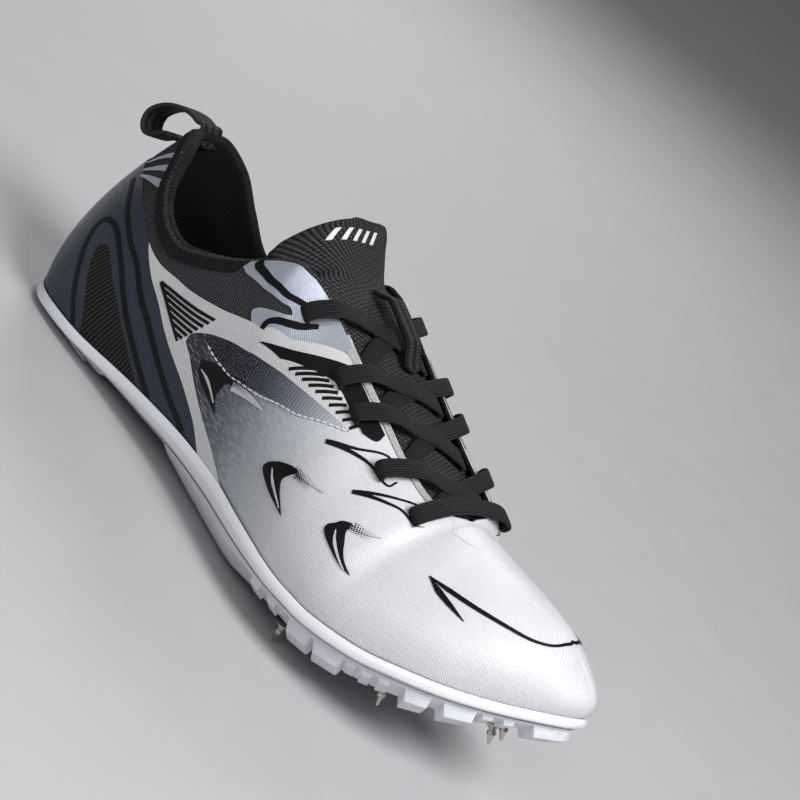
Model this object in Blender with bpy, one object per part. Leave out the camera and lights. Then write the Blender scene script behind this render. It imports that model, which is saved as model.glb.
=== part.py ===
"""Track spike shoe for the right foot: a hollow lasted upper on a moulded sole with seven steel pins.

+X runs to the toe, +Y to the inner (medial) side and +Z up. The origin is on the floor, under the
middle of the heel's flat patch, and the shoe stands on its heel pad and the tips of its rear pins.
Every piece is one closed solid, and curved neighbours lie GAP apart.
"""
import functools
import math

import bmesh
import bpy
import numpy as np
from mathutils import Matrix, Vector

# Driving sizes, in metres
SOLE_LENGTH = 0.2765       # back of the heel rim to the tip of the toe rim
HEEL_WIDTH = 0.062         # across the rim at the heel
BALL_WIDTH = 0.0915        # across the rim at the ball
HEEL_REST = 0.031          # back of the sole to the middle of the heel's flat patch
LAST_PITCH = math.radians(4.1)   # the last's base plane against the floor, heel down
FLOOR_PIVOT = 0.1935       # back of the sole to where the base plane meets the floor
CREASE_HEIGHT = 0.020      # base plane to the crease between upper and sole, at the ball
TOE_RISE = 0.0245          # climb of the crease from the ball to the toe tip
COLLAR_HEIGHT = 0.097      # base plane to the top of the collar at the back
INSTEP_HEIGHT = 0.0975     # base plane to the front corners of the collar
VAMP_HEIGHT = 0.067        # base plane to the ridge behind the toes
TONGUE_HEIGHT = 0.1145     # base plane to the tongue's crown
TONGUE_CROWN = 0.0915      # back of the sole to the tongue's crown
UPPER_WALL = 0.0018
OVERLAY_WALL = 0.0008      # heel counter and eyestays
TONGUE_WALL = 0.0032
INSOLE_WALL = 0.0025
CREASE_INSET = 0.0027      # crease inside the rim's outer line, along the sides
HEEL_INSET = 0.0016        # the same at the heel's back
LIP_HEIGHT = 0.0008        # sole's lip above the crease
PAD_THICKNESS = 0.0015     # heel pad
PAD_LENGTH = 0.044
PLATE_START = 0.1005       # back of the sole to the plate's back edge
LUG_DEPTH = 0.0044         # lug under the plate's edge
LUG_INSET = 0.0030         # lug's outer face inside the rim's outer line
LUG_REACH = 0.0075         # lug from its outer face inwards
PIN_LENGTH = 0.0066
PIN_RADIUS = 0.0019
PIN_TIP_RADIUS = 0.0005
SEAT_RADIUS = 0.0043       # flanged nut at the pin's root
SEAT_HEIGHT = 0.0020
LACE_WIDTH = 0.0068
LACE_THICKNESS = 0.0014
LACE_RISE = 0.0011         # the upper strand of a crossing above the lower one
LOOP_WIDTH = 0.012         # pull loop
LOOP_REACH = 0.0235        # pull loop behind the collar's top
LOOP_HANG = 0.0150         # pull loop's fall under the collar's top
WEBBING = 0.0018
KEEPER_WIDTH = 0.0090
GAP = 0.0003

# Stations from the heel's back to the toe tip are spaced by angle, so both ends come out round
STATIONS = 48
RIB_POINTS = 9
LATERAL = -1
MEDIAL = 1
SIDES = (LATERAL, MEDIAL)

# Outline of the rim. along is a share of SOLE_LENGTH, and lateral and medial are the distances from
# the X axis as shares of the width there
OUTLINE_COLUMNS = ("along", "lateral", "medial")
OUTLINE = (
    (0.000, 0.000, 0.000),
    (0.020, 0.270, 0.262),
    (0.060, 0.432, 0.417),
    (0.120, 0.492, 0.470),
    (0.250, 0.500, 0.465),
    (0.380, 0.527, 0.430),
    (0.500, 0.515, 0.412),
    (0.605, 0.516, 0.432),
    (0.700, 0.525, 0.468),
    (0.760, 0.511, 0.484),
    (0.810, 0.470, 0.482),
    (0.865, 0.399, 0.465),
    (0.925, 0.256, 0.413),
    (0.972, 0.070, 0.315),
    (0.992, -0.050, 0.238),
    (1.000, -0.153, 0.153),
)

# Sole. crease and under are heights of the crease and of the midsole's bottom as shares of
# CREASE_HEIGHT, and crease_rise and under_rise are what they add as shares of TOE_RISE. edge_in and
# keel_in are how far inside the rim the lower edge and the bottom face lie, as shares of BALL_WIDTH.
# edge_down is the lower edge under the crease, and flute the hollow along the bottom, as shares of
# CREASE_HEIGHT
SOLE_COLUMNS = ("along", "crease", "crease_rise", "under", "under_rise",
                "edge_in", "edge_down", "keel_in", "flute")
SOLE = (
    (0.000, 0.875, 0.00, 0.300, 0.00, 0.030, 0.150, 0.062, 0.00),
    (0.125, 0.855, 0.00, 0.300, 0.00, 0.030, 0.150, 0.062, 0.00),
    (0.185, 0.885, 0.00, 0.300, 0.00, 0.032, 0.165, 0.062, 0.00),
    (0.225, 0.935, 0.00, 0.640, 0.00, 0.036, 0.200, 0.070, 0.02),
    (0.290, 1.020, 0.00, 0.630, 0.00, 0.042, 0.270, 0.085, 0.06),
    (0.380, 1.100, 0.00, 0.620, 0.00, 0.042, 0.320, 0.100, 0.00),
    (0.480, 1.120, 0.00, 0.600, 0.00, 0.036, 0.340, 0.100, 0.00),
    (0.570, 1.050, 0.00, 0.560, 0.00, 0.026, 0.280, 0.095, 0.00),
    (0.660, 0.985, 0.00, 0.585, 0.00, 0.018, 0.190, 0.095, 0.00),
    (0.710, 1.000, 0.00, 0.590, 0.00, 0.018, 0.175, 0.095, 0.00),
    (0.760, 1.000, 0.06, 0.585, 0.06, 0.018, 0.175, 0.090, 0.00),
    (0.810, 1.000, 0.16, 0.585, 0.16, 0.018, 0.175, 0.090, 0.00),
    (0.860, 1.000, 0.33, 0.595, 0.33, 0.018, 0.175, 0.090, 0.00),
    (0.900, 1.000, 0.47, 0.640, 0.47, 0.018, 0.175, 0.090, 0.00),
    (0.942, 1.000, 0.65, 0.710, 0.65, 0.018, 0.175, 0.085, 0.00),
    (0.978, 1.000, 0.84, 0.730, 0.84, 0.018, 0.175, 0.080, 0.00),
    (1.000, 1.000, 1.00, 0.740, 1.00, 0.018, 0.175, 0.075, 0.00),
)

# Plate under the midsole, deepened to a keel under the arch. thickness is a share of CREASE_HEIGHT
PLATE_COLUMNS = ("along", "thickness")
PLATE = (
    (0.360, 0.050),
    (0.430, 0.200),
    (0.480, 0.255),
    (0.520, 0.270),
    (0.570, 0.255),
    (0.620, 0.165),
    (0.660, 0.115),
    (0.720, 0.110),
    (1.000, 0.110),
)

# Top edge of the upper: collar, throat and, where gap is 0, the vamp's ridge. along is the place of
# the rib's foot, top the place of its top, both shares of SOLE_LENGTH. swing moves the middle to the
# medial side and gap is half the opening, as shares of HEEL_WIDTH. height is a share of the height
# there, and tilt lifts the medial edge, as a share of INSTEP_HEIGHT
TOP_COLUMNS = ("along", "top", "swing", "gap", "height", "tilt")
TOP = (
    (0.000, 0.058, 0.000, 0.000, 1.000, 0.000),
    (0.010, 0.067, 0.000, 0.137, 1.000, 0.000),
    (0.038, 0.103, -0.010, 0.305, 0.952, -0.015),
    (0.084, 0.137, -0.020, 0.430, 0.840, -0.020),
    (0.146, 0.180, -0.020, 0.476, 0.747, -0.020),
    (0.196, 0.215, -0.018, 0.485, 0.726, -0.018),
    (0.250, 0.259, -0.015, 0.482, 0.772, -0.015),
    (0.309, 0.305, -0.010, 0.469, 0.848, -0.010),
    (0.371, 0.359, 0.000, 0.445, 0.969, -0.002),
    (0.402, 0.382, 0.005, 0.430, 0.998, 0.002),
    (0.435, 0.403, 0.015, 0.408, 0.992, 0.008),
    (0.467, 0.434, 0.024, 0.371, 0.991, 0.015),
    (0.533, 0.504, 0.040, 0.347, 0.977, 0.024),
    (0.598, 0.579, 0.040, 0.323, 0.962, 0.026),
    (0.661, 0.658, 0.045, 0.306, 0.942, 0.026),
    (0.691, 0.698, 0.048, 0.290, 0.945, 0.024),
    (0.721, 0.726, 0.052, 0.222, 0.963, 0.015),
    (0.750, 0.735, 0.054, 0.000, 1.000, 0.000),
    (0.804, 0.789, 0.056, 0.000, 0.990, 0.000),
    (0.854, 0.844, 0.070, 0.000, 0.983, 0.000),
    (0.897, 0.889, 0.090, 0.000, 0.970, 0.000),
    (0.933, 0.922, 0.120, 0.000, 0.942, 0.000),
    (0.962, 0.943, 0.155, 0.000, 0.903, 0.000),
    (0.983, 0.955, 0.185, 0.000, 0.870, 0.000),
    (1.000, 0.962, 0.205, 0.000, 0.848, 0.000),
)

# Ribs of the upper. out and over are how far the lower and upper part of a rib swell outwards, as
# shares of BALL_WIDTH, and rise and drop where they do so, as shares of the rib's height
RIB_COLUMNS = ("along", "out", "rise", "over", "drop")
RIBS = (
    (0.000, 0.084, 0.33, 0.137, 0.31),
    (0.038, 0.070, 0.32, 0.095, 0.32),
    (0.100, 0.052, 0.33, 0.045, 0.33),
    (0.200, 0.040, 0.33, 0.022, 0.35),
    (0.309, 0.040, 0.32, 0.055, 0.32),
    (0.402, 0.048, 0.35, 0.095, 0.31),
    (0.467, 0.052, 0.39, 0.140, 0.20),
    (0.565, 0.052, 0.43, 0.155, 0.12),
    (0.661, 0.052, 0.43, 0.185, 0.11),
    (0.721, 0.050, 0.46, 0.200, 0.08),
    (0.750, 0.049, 0.48, 0.240, 0.00),
    (0.830, 0.052, 0.50, 0.240, 0.01),
    (0.897, 0.058, 0.52, 0.190, 0.03),
    (0.962, 0.055, 0.55, 0.100, 0.12),
    (1.000, 0.044, 0.58, 0.066, 0.19),
)

# Where the width and the height references change over, as shares of SOLE_LENGTH
WAIST_SPAN = (0.35, 0.69)
INSTEP_SPAN = (0.20, 0.371)
VAMP_SPAN = (0.44, 0.75)

# Stations that bound the parts of the upper
COLLAR_CORNER = 21
THROAT_END = 32

# Tongue: inside the throat it follows the upper. edge and shoulder are shares of the rib
TONGUE_COLUMNS = ("station", "edge", "shoulder")
TONGUE_UNDER = (
    (34, 0.80, 0.90),
    (33, 0.78, 0.89),
    (32, 0.76, 0.88),
    (31, 0.85, 0.97),
    (30, 0.85, 1.00),
    (29, 0.85, 1.00),
    (28, 0.85, 1.00),
    (27, 0.86, 1.00),
    (26, 0.86, 1.00),
    (25, 0.87, 1.00),
    (24, 0.88, 1.00),
    (23, 0.90, 1.00),
    (22, 0.92, 1.00),
)
# Above the collar it stands free. climb is the way from the throat to the crown, half its half width
# as a share of HEEL_WIDTH, bow how far its edges wrap back and tilt how far its medial edge stands
# above the middle, as shares of HEEL_WIDTH, and pad the thickness in tongue walls
CROWN_COLUMNS = ("climb", "half", "bow", "tilt", "pad")
CROWN = (
    (0.22, 0.375, 0.200, 0.030, 1.2),
    (0.42, 0.395, 0.220, 0.060, 1.5),
    (0.62, 0.400, 0.200, 0.080, 1.8),
    (0.80, 0.390, 0.160, 0.090, 1.9),
    (0.93, 0.360, 0.125, 0.090, 1.7),
    (1.00, 0.320, 0.110, 0.090, 1.2),
)
TONGUE_ARCH = 0.022        # middle of the tongue above its shoulders, a share of INSTEP_HEIGHT
TONGUE_CLEARANCE = 0.0011
TONGUE_SWING = 0.0045      # crown to the medial side of the tongue's foot
TONGUE_POINTS = 9

# Eyelet rows from the toe end up: place of the row along the throat's ribs, as a station, and places
# of its two holes on their ribs
EYELET_COLUMNS = ("station", "lateral", "medial")
EYELETS = (
    (30.8, 0.80, 0.86),
    (29.0, 0.80, 0.86),
    (27.0, 0.81, 0.87),
    (25.7, 0.82, 0.88),
    (23.0, 0.84, 0.90),
)

# Lugs round the plate's edge: station of the middle, side, length along the edge, depth in LUG_DEPTH
LUG_COLUMNS = ("station", "side", "length", "depth")
LUGS = (
    (28.3, LATERAL, 0.006, 0.60),
    (29.5, LATERAL, 0.005, 0.50),
    (31.4, LATERAL, 0.011, 1.00),
    (33.1, LATERAL, 0.012, 1.00),
    (34.3, LATERAL, 0.004, 0.35),
    (35.1, LATERAL, 0.004, 0.45),
    (36.0, LATERAL, 0.004, 0.45),
    (37.7, LATERAL, 0.009, 1.00),
    (39.8, LATERAL, 0.011, 1.05),
    (41.3, LATERAL, 0.004, 0.45),
    (42.5, LATERAL, 0.004, 0.50),
    (45.0, LATERAL, 0.008, 0.95),
    (47.0, LATERAL, 0.008, 0.95),
    (29.0, MEDIAL, 0.006, 0.60),
    (30.6, MEDIAL, 0.010, 0.95),
    (32.3, MEDIAL, 0.011, 1.00),
    (34.0, MEDIAL, 0.005, 0.45),
    (35.0, MEDIAL, 0.004, 0.45),
    (36.4, MEDIAL, 0.010, 1.00),
    (38.2, MEDIAL, 0.010, 1.00),
    (39.8, MEDIAL, 0.004, 0.45),
    (41.6, MEDIAL, 0.009, 1.00),
    (44.4, MEDIAL, 0.009, 0.95),
)
LUG_TAPER = 0.80           # lug's foot against its root

# Pins: place of the tip from the back of the sole, as a share of SOLE_LENGTH, and from the X axis, as
# a share of BALL_WIDTH. The rear three stand on the floor
PIN_COLUMNS = ("along", "across")
PINS = (
    (0.692, -0.390),
    (0.737, -0.010),
    (0.712, 0.300),
    (0.822, -0.175),
    (0.825, 0.270),
    (0.932, 0.075),
    (0.912, 0.255),
)
FLOOR_PINS = 3


def column(columns, table, name):
    """One named column of a table."""
    place = columns.index(name)
    return [row[place] for row in table]


def smooth(places, values, place):
    """Smooth curve through a table's values, read at one place."""
    places = np.asarray(places, float)
    values = np.asarray(values, float)
    slopes = np.gradient(values, places)
    steps = np.diff(values) / np.diff(places)
    for k in range(1, len(places) - 1):
        if steps[k - 1] * steps[k] <= 0.0:
            slopes[k] = 0.0
    slopes[0] = steps[0]
    slopes[-1] = steps[-1]
    k = int(np.clip(np.searchsorted(places, place) - 1, 0, len(places) - 2))
    width = places[k + 1] - places[k]
    t = min(max((place - places[k]) / width, 0.0), 1.0)
    return float((2 * t ** 3 - 3 * t ** 2 + 1) * values[k] + (t ** 3 - 2 * t ** 2 + t) * width * slopes[k]
                 + (3 * t ** 2 - 2 * t ** 3) * values[k + 1] + (t ** 3 - t ** 2) * width * slopes[k + 1])


def ease(start, end, place):
    """0 before start, 1 after end, smooth between."""
    t = min(max((place - start) / (end - start), 0.0), 1.0)
    return t * t * (3.0 - 2.0 * t)


def angle_of(along):
    """Station angle, 0 at the heel's back and pi at the toe tip, of a share of the length."""
    return math.acos(min(max(1.0 - 2.0 * along, -1.0), 1.0))


def station_angle(station):
    return math.pi * station / STATIONS


@functools.lru_cache(maxsize=None)
def read(columns, table, name, angle):
    """A column of a table by angle, so that rows near the ends are spread out."""
    angles = [angle_of(along) for along in column(columns, table, "along")]
    return smooth(angles, column(columns, table, name), angle)


def width_at(along):
    return HEEL_WIDTH + (BALL_WIDTH - HEEL_WIDTH) * ease(*WAIST_SPAN, along)


def height_at(along):
    """Height that the top edge's shares refer to."""
    to_instep = ease(*INSTEP_SPAN, along)
    to_vamp = min(max((along - VAMP_SPAN[0]) / (VAMP_SPAN[1] - VAMP_SPAN[0]), 0.0), 1.0)
    back = COLLAR_HEIGHT + (INSTEP_HEIGHT - COLLAR_HEIGHT) * to_instep
    return back + (VAMP_HEIGHT - back) * to_vamp


@functools.lru_cache(maxsize=None)
def rim_point(angle, side):
    """Plan point of the rim's outer line."""
    along = (1.0 - math.cos(angle)) / 2.0
    name = "lateral" if side == LATERAL else "medial"
    across = read(OUTLINE_COLUMNS, OUTLINE, name, angle) * width_at(along)
    return np.array([along * SOLE_LENGTH, side * across])


def rim_normal(angle, side):
    """Outward direction of the rim in plan."""
    step = 0.002
    if angle <= 0.0 or angle >= math.pi:
        return np.array([-1.0 if angle <= 0.0 else 1.0, 0.0])
    ahead = rim_point(min(angle + step, math.pi), side)
    behind = rim_point(max(angle - step, 0.0), side)
    tangent = (ahead - behind) / np.linalg.norm(ahead - behind)
    return np.array([-side * tangent[1], side * tangent[0]])


def inset_point(angle, side, inset):
    """Plan point a distance inside the rim."""
    return rim_point(angle, side) - rim_normal(angle, side) * inset


def crease_inset(angle):
    """How far inside the rim's outer line the crease runs."""
    along = (1.0 - math.cos(angle)) / 2.0
    return HEEL_INSET + (CREASE_INSET - HEEL_INSET) * ease(0.0, 0.12, along)


def crease_height(x):
    """Height of the crease between upper and sole."""
    angle = angle_of(x / SOLE_LENGTH)
    return (CREASE_HEIGHT * read(SOLE_COLUMNS, SOLE, "crease", angle)
            + TOE_RISE * read(SOLE_COLUMNS, SOLE, "crease_rise", angle))


def floor_height(x):
    """Height of the floor over the last's base plane, towards which it leans."""
    return (FLOOR_PIVOT - x) * math.tan(LAST_PITCH)


def plate_thickness(x):
    """Depth of the plate's flat bottom under the midsole."""
    return CREASE_HEIGHT * read(PLATE_COLUMNS, PLATE, "thickness", angle_of(x / SOLE_LENGTH))


def under_height(x):
    """Height of the midsole's bottom face, which is flat over the heel pad."""
    angle = angle_of(x / SOLE_LENGTH)
    height = (CREASE_HEIGHT * read(SOLE_COLUMNS, SOLE, "under", angle)
              + TOE_RISE * read(SOLE_COLUMNS, SOLE, "under_rise", angle))
    return max(height, floor_height(x) + PAD_THICKNESS + GAP)


@functools.lru_cache(maxsize=None)
def rib_frame(angle, side):
    """The four Bezier points of a rib, foot first."""
    foot_xy = inset_point(angle, side, crease_inset(angle))
    foot = np.array([foot_xy[0], foot_xy[1], crease_height(foot_xy[0])])
    along = (1.0 - math.cos(angle)) / 2.0
    gap = max(read(TOP_COLUMNS, TOP, "gap", angle), 0.0) * HEEL_WIDTH
    swing = read(TOP_COLUMNS, TOP, "swing", angle) * HEEL_WIDTH
    tilt = read(TOP_COLUMNS, TOP, "tilt", angle) * INSTEP_HEIGHT
    height = read(TOP_COLUMNS, TOP, "height", angle) * height_at(along)
    top = np.array([read(TOP_COLUMNS, TOP, "top", angle) * SOLE_LENGTH, swing + side * gap,
                    height + (tilt if side == MEDIAL else 0.0)])
    normal = rim_normal(angle, side)
    outward = np.array([normal[0], normal[1], 0.0])
    up = np.array([0.0, 0.0, top[2] - foot[2]])
    low = (foot + outward * read(RIB_COLUMNS, RIBS, "out", angle) * BALL_WIDTH
           + up * read(RIB_COLUMNS, RIBS, "rise", angle))
    high = (top + outward * read(RIB_COLUMNS, RIBS, "over", angle) * BALL_WIDTH
            - up * read(RIB_COLUMNS, RIBS, "drop", angle))
    return foot, low, high, top


def on_rib(frame, share):
    """Point of a rib, share 0 at its foot and 1 at its top."""
    foot, low, high, top = frame
    rest = 1.0 - share
    return (rest ** 3 * foot + 3.0 * rest ** 2 * share * low + 3.0 * rest * share ** 2 * high
            + share ** 3 * top)


def upper_point(angle, side, share, lift=0.0):
    """Point of the upper's outer face, or of a face a distance outside it."""
    point = on_rib(rib_frame(angle, side), share)
    if lift == 0.0:
        return point
    sides = (side,)
    if share >= 1.0 and angle >= station_angle(THROAT_END):
        sides = SIDES
    normal = sum(face_normal(angle, each, share) for each in sides)
    return point + normal / np.linalg.norm(normal) * lift


def face_normal(angle, side, share):
    """Outward direction of the upper's outer face."""
    turn = 0.01
    step = 0.02
    before = on_rib(rib_frame(max(angle - turn, 0.0), side), share)
    after = on_rib(rib_frame(min(angle + turn, math.pi), side), share)
    if angle <= 0.0 or angle >= math.pi:
        before = np.zeros(3)
        after = np.array([0.0, side if angle <= 0.0 else -side, 0.0])
    frame = rib_frame(angle, side)
    below = on_rib(frame, max(share - step, 0.0))
    above = on_rib(frame, min(share + step, 1.0))
    normal = side * np.cross(above - below, after - before)
    return normal / np.linalg.norm(normal)


def faceted_point(angle, side, share, lift):
    """Point over the upper's flat facets, so that a skin on it keeps its distance everywhere."""
    steps = RIB_POINTS - 1
    k = min(int(share * steps), steps - 1)
    rest = share * steps - k
    return ((1.0 - rest) * upper_point(angle, side, k / steps, lift)
            + rest * upper_point(angle, side, (k + 1) / steps, lift))


class Solid:
    """Collects points and faces of one closed piece, in metres from the back of the sole."""

    def __init__(self):
        self.mesh = bmesh.new()

    def row(self, points):
        return [self.mesh.verts.new(Vector(point)) for point in points]

    def face(self, *corners):
        distinct = list(dict.fromkeys(corners))
        if len(distinct) > 2:
            self.mesh.faces.new(distinct)

    def strip(self, first, second, closed=False):
        """Faces between two rows of as many points."""
        count = len(first)
        for k in range(count if closed else count - 1):
            after = (k + 1) % count
            self.face(first[k], first[after], second[after], second[k])

    def grid(self, rows, closed=False):
        for first, second in zip(rows, rows[1:]):
            self.strip(first, second, closed)

    def build(self, name, finish, smooth_angle=math.radians(40.0)):
        """Turns the collected mesh into a named object with its own material."""
        bmesh.ops.remove_doubles(self.mesh, verts=self.mesh.verts[:], dist=2e-6)
        bmesh.ops.recalc_face_normals(self.mesh, faces=self.mesh.faces[:])
        if self.mesh.calc_volume(signed=True) < 0.0:
            bmesh.ops.reverse_faces(self.mesh, faces=self.mesh.faces[:])
        data = bpy.data.meshes.new(name)
        self.mesh.to_mesh(data)
        self.mesh.free()
        data.shade_smooth()
        data.set_sharp_from_angle(angle=smooth_angle)
        data.materials.append(material(name, *finish))
        piece = bpy.data.objects.new(name, data)
        bpy.context.scene.collection.objects.link(piece)
        stand = Matrix.Rotation(-LAST_PITCH, 4, "Y")
        rest = Vector((HEEL_REST, 0.0, floor_height(HEEL_REST)))
        piece.matrix_world = stand @ Matrix.Translation(-rest)
        return piece


def material(name, colour, roughness, metallic=0.0):
    finish = bpy.data.materials.new(name)
    finish.use_nodes = True
    shader = finish.node_tree.nodes["Principled BSDF"]
    shader.inputs["Base Color"].default_value = (*colour, 1.0)
    shader.inputs["Roughness"].default_value = roughness
    shader.inputs["Metallic"].default_value = metallic
    return finish


WHITE_RUBBER = ((0.80, 0.80, 0.83), 0.35)
CLEAR_RUBBER = ((0.62, 0.63, 0.66), 0.25)
WHITE_FILM = ((0.78, 0.78, 0.80), 0.45)
NAVY_FILM = ((0.035, 0.045, 0.07), 0.30)
BLACK_KNIT = ((0.012, 0.012, 0.014), 0.85)
BLACK_WEBBING = ((0.010, 0.010, 0.012), 0.70)
STEEL = ((0.60, 0.58, 0.54), 0.28, 1.0)


def make_upper():
    """The hollow shell, welded at the heel's back, along the vamp's ridge and at the toe tip."""
    solid = Solid()
    shares = np.linspace(0.0, 1.0, RIB_POINTS)
    rims = {}
    for lift in (0.0, -UPPER_WALL):
        for side in SIDES:
            rows = [solid.row(upper_point(station_angle(i), side, share, lift) for share in shares)
                    for i in range(STATIONS + 1)]
            solid.grid(rows)
            rims[lift, side] = rows
    for side in SIDES:
        outer = rims[0.0, side]
        inner = rims[-UPPER_WALL, side]
        solid.strip([row[0] for row in outer], [row[0] for row in inner])
        throat = THROAT_END + 1
        solid.strip([row[-1] for row in outer[:throat]], [row[-1] for row in inner[:throat]])
    return solid.build("upper", WHITE_FILM)


def patch(name, finish, parts, low, high):
    """A skin over the upper between two shares of each rib, GAP outside its wall."""
    solid = Solid()
    skins = []
    for lift in (GAP, GAP + OVERLAY_WALL):
        rows = []
        for side, order in parts:
            for i in order:
                shares = np.clip(np.linspace(0.0, 1.0, RIB_POINTS), low(i), high(i))
                rows.append(solid.row(faceted_point(station_angle(i), side, share, lift)
                                      for share in shares))
        solid.grid(rows)
        skins.append(rows)
    inner, outer = skins
    solid.strip([row[0] for row in inner], [row[0] for row in outer])
    solid.strip([row[-1] for row in inner], [row[-1] for row in outer])
    solid.strip(inner[0], outer[0])
    solid.strip(inner[-1], outer[-1])
    return solid.build(name, finish)


def make_heel_counter():
    """Moulded film round the heel, falling from under the collar to the sole on both sides."""
    last = 17
    start = 0.055

    def top(i):
        return start + (0.74 - start) * (1.0 - ease(5.0, last, i)) + 0.05 * ease(0.0, last, i)

    parts = ((LATERAL, range(last, 0, -1)), (MEDIAL, range(0, last + 1)))
    return patch("heel_counter", NAVY_FILM, parts, lambda i: start, top)


def make_eyestay(side, name):
    """Eyelet strip along one edge of the throat."""
    first, last = COLLAR_CORNER, THROAT_END - 2

    def low(i):
        return 0.66 - 0.06 * ease(first, first + 3, i)

    return patch(name, WHITE_FILM, ((side, range(first, last + 1)),), low, lambda i: 0.985)


def ring(solid, inset, height, stations=range(STATIONS + 1)):
    """Closed level line round the sole. inset and height are functions of station angle and place."""
    points = []
    for side, order in ((LATERAL, stations), (MEDIAL, reversed(stations))):
        for i in order:
            angle = station_angle(i)
            x, y = inset_point(angle, side, inset(angle))
            points.append((x, y, height(angle, x)))
    return solid.row(points)


def across(solid, loop, lift, columns):
    """Closes a loop made by ring with a face of rows from side to side, dished by lift."""
    half = len(loop) // 2
    rows = []
    for i in range(half):
        left, right = loop[i], loop[len(loop) - 1 - i]
        start, end = np.array(left.co), np.array(right.co)
        inner = []
        for k in range(1, columns + 1):
            share = k / (columns + 1)
            point = start + (end - start) * share
            point[2] += lift(point[0]) * math.sin(math.pi * share) ** 2
            inner.append(point)
        middle = solid.row(inner) if np.linalg.norm(end - start) > 1e-6 else [left] * columns
        rows.append([left, *middle, right])
    solid.grid(rows)
    return rows


def make_midsole():
    """White shell: footbed, lip, rim, undercut side and fluted bottom."""
    solid = Solid()

    def shore(angle):
        return crease_inset(angle) - GAP

    def share_of(name, reference):
        return lambda angle: reference * read(SOLE_COLUMNS, SOLE, name, angle)

    def edge_height(angle, x):
        return crease_height(x) - CREASE_HEIGHT * read(SOLE_COLUMNS, SOLE, "edge_down", angle)

    edge_in = share_of("edge_in", BALL_WIDTH)
    keel_in = share_of("keel_in", BALL_WIDTH)
    rings = (
        (shore, lambda angle, x: crease_height(x) - GAP),
        (lambda angle: 0.8 * shore(angle), lambda angle, x: crease_height(x) + LIP_HEIGHT),
        (lambda angle: 0.45 * shore(angle), lambda angle, x: crease_height(x) + LIP_HEIGHT),
        (lambda angle: 0.08 * shore(angle), lambda angle, x: crease_height(x) - LIP_HEIGHT),
        (lambda angle: 0.0, lambda angle, x: crease_height(x) - 3 * LIP_HEIGHT),
        (lambda angle: edge_in(angle) / 4,
         lambda angle, x: 0.4 * (crease_height(x) - 3 * LIP_HEIGHT) + 0.6 * edge_height(angle, x)),
        (edge_in, edge_height),
        (keel_in, lambda angle, x: under_height(x)),
    )
    loops = [ring(solid, inset, height) for inset, height in rings]
    for first, second in zip(loops, loops[1:]):
        solid.strip(first, second, closed=True)
    across(solid, loops[0], lambda x: 0.0, 1)

    def flute(x):
        return CREASE_HEIGHT * read(SOLE_COLUMNS, SOLE, "flute", angle_of(x / SOLE_LENGTH))

    across(solid, loops[-1], flute, 3)
    return solid.build("midsole", WHITE_RUBBER)


def make_insole():
    """Thin sock liner on the footbed, clear of the upper's inner face."""
    solid = Solid()

    def inset(angle):
        return crease_inset(angle) + UPPER_WALL + 2 * GAP

    low = ring(solid, inset, lambda angle, x: crease_height(x))
    high = ring(solid, inset, lambda angle, x: crease_height(x) + INSOLE_WALL)
    solid.strip(low, high, closed=True)
    across(solid, low, lambda x: 0.0, 1)
    across(solid, high, lambda x: -INSOLE_WALL / 5, 1)
    return solid.build("insole", BLACK_KNIT)


def make_heel_pad():
    """Clear pad under the heel, flat on the floor, with a bevelled front."""
    solid = Solid()
    side_in = BALL_WIDTH * SOLE[0][SOLE_COLUMNS.index("keel_in")]
    end = side_in + PAD_LENGTH
    bevel = PAD_THICKNESS / 3
    stations = [i for i in range(STATIONS) if rim_point(station_angle(i), MEDIAL)[0] < end - bevel * 3]
    loops = []
    for inset, height, front in ((side_in + bevel, 0.0, end), (side_in, bevel, end + bevel),
                                 (side_in, PAD_THICKNESS, end - 2 * bevel)):
        points = []
        for side in SIDES:
            line = []
            for i in stations:
                x, y = inset_point(station_angle(i), side, inset)
                line.append((x, y, floor_height(x) + height))
            line.append((front, line[-1][1], floor_height(front) + height))
            points += line if side == LATERAL else line[:0:-1]
        loops.append(points)
    rows = [solid.row(points) for points in loops]
    solid.grid(rows, closed=True)
    solid.face(*rows[0])
    solid.face(*rows[-1])
    return solid.build("heel_pad", CLEAR_RUBBER)


def plate_top(angle, x, inset):
    """Height of the plate's top face, GAP under the midsole, from its edge to its middle."""
    edge_in = BALL_WIDTH * read(SOLE_COLUMNS, SOLE, "edge_in", angle)
    keel_in = BALL_WIDTH * read(SOLE_COLUMNS, SOLE, "keel_in", angle)
    edge = crease_height(x) - CREASE_HEIGHT * read(SOLE_COLUMNS, SOLE, "edge_down", angle)
    share = min(max((inset - edge_in) / (keel_in - edge_in), 0.0), 1.0)
    return edge + (under_height(x) - edge) * share - GAP


def first_plate_station():
    station = 0
    while rim_point(station_angle(station), LATERAL)[0] < PLATE_START:
        station += 1
    return station


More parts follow.
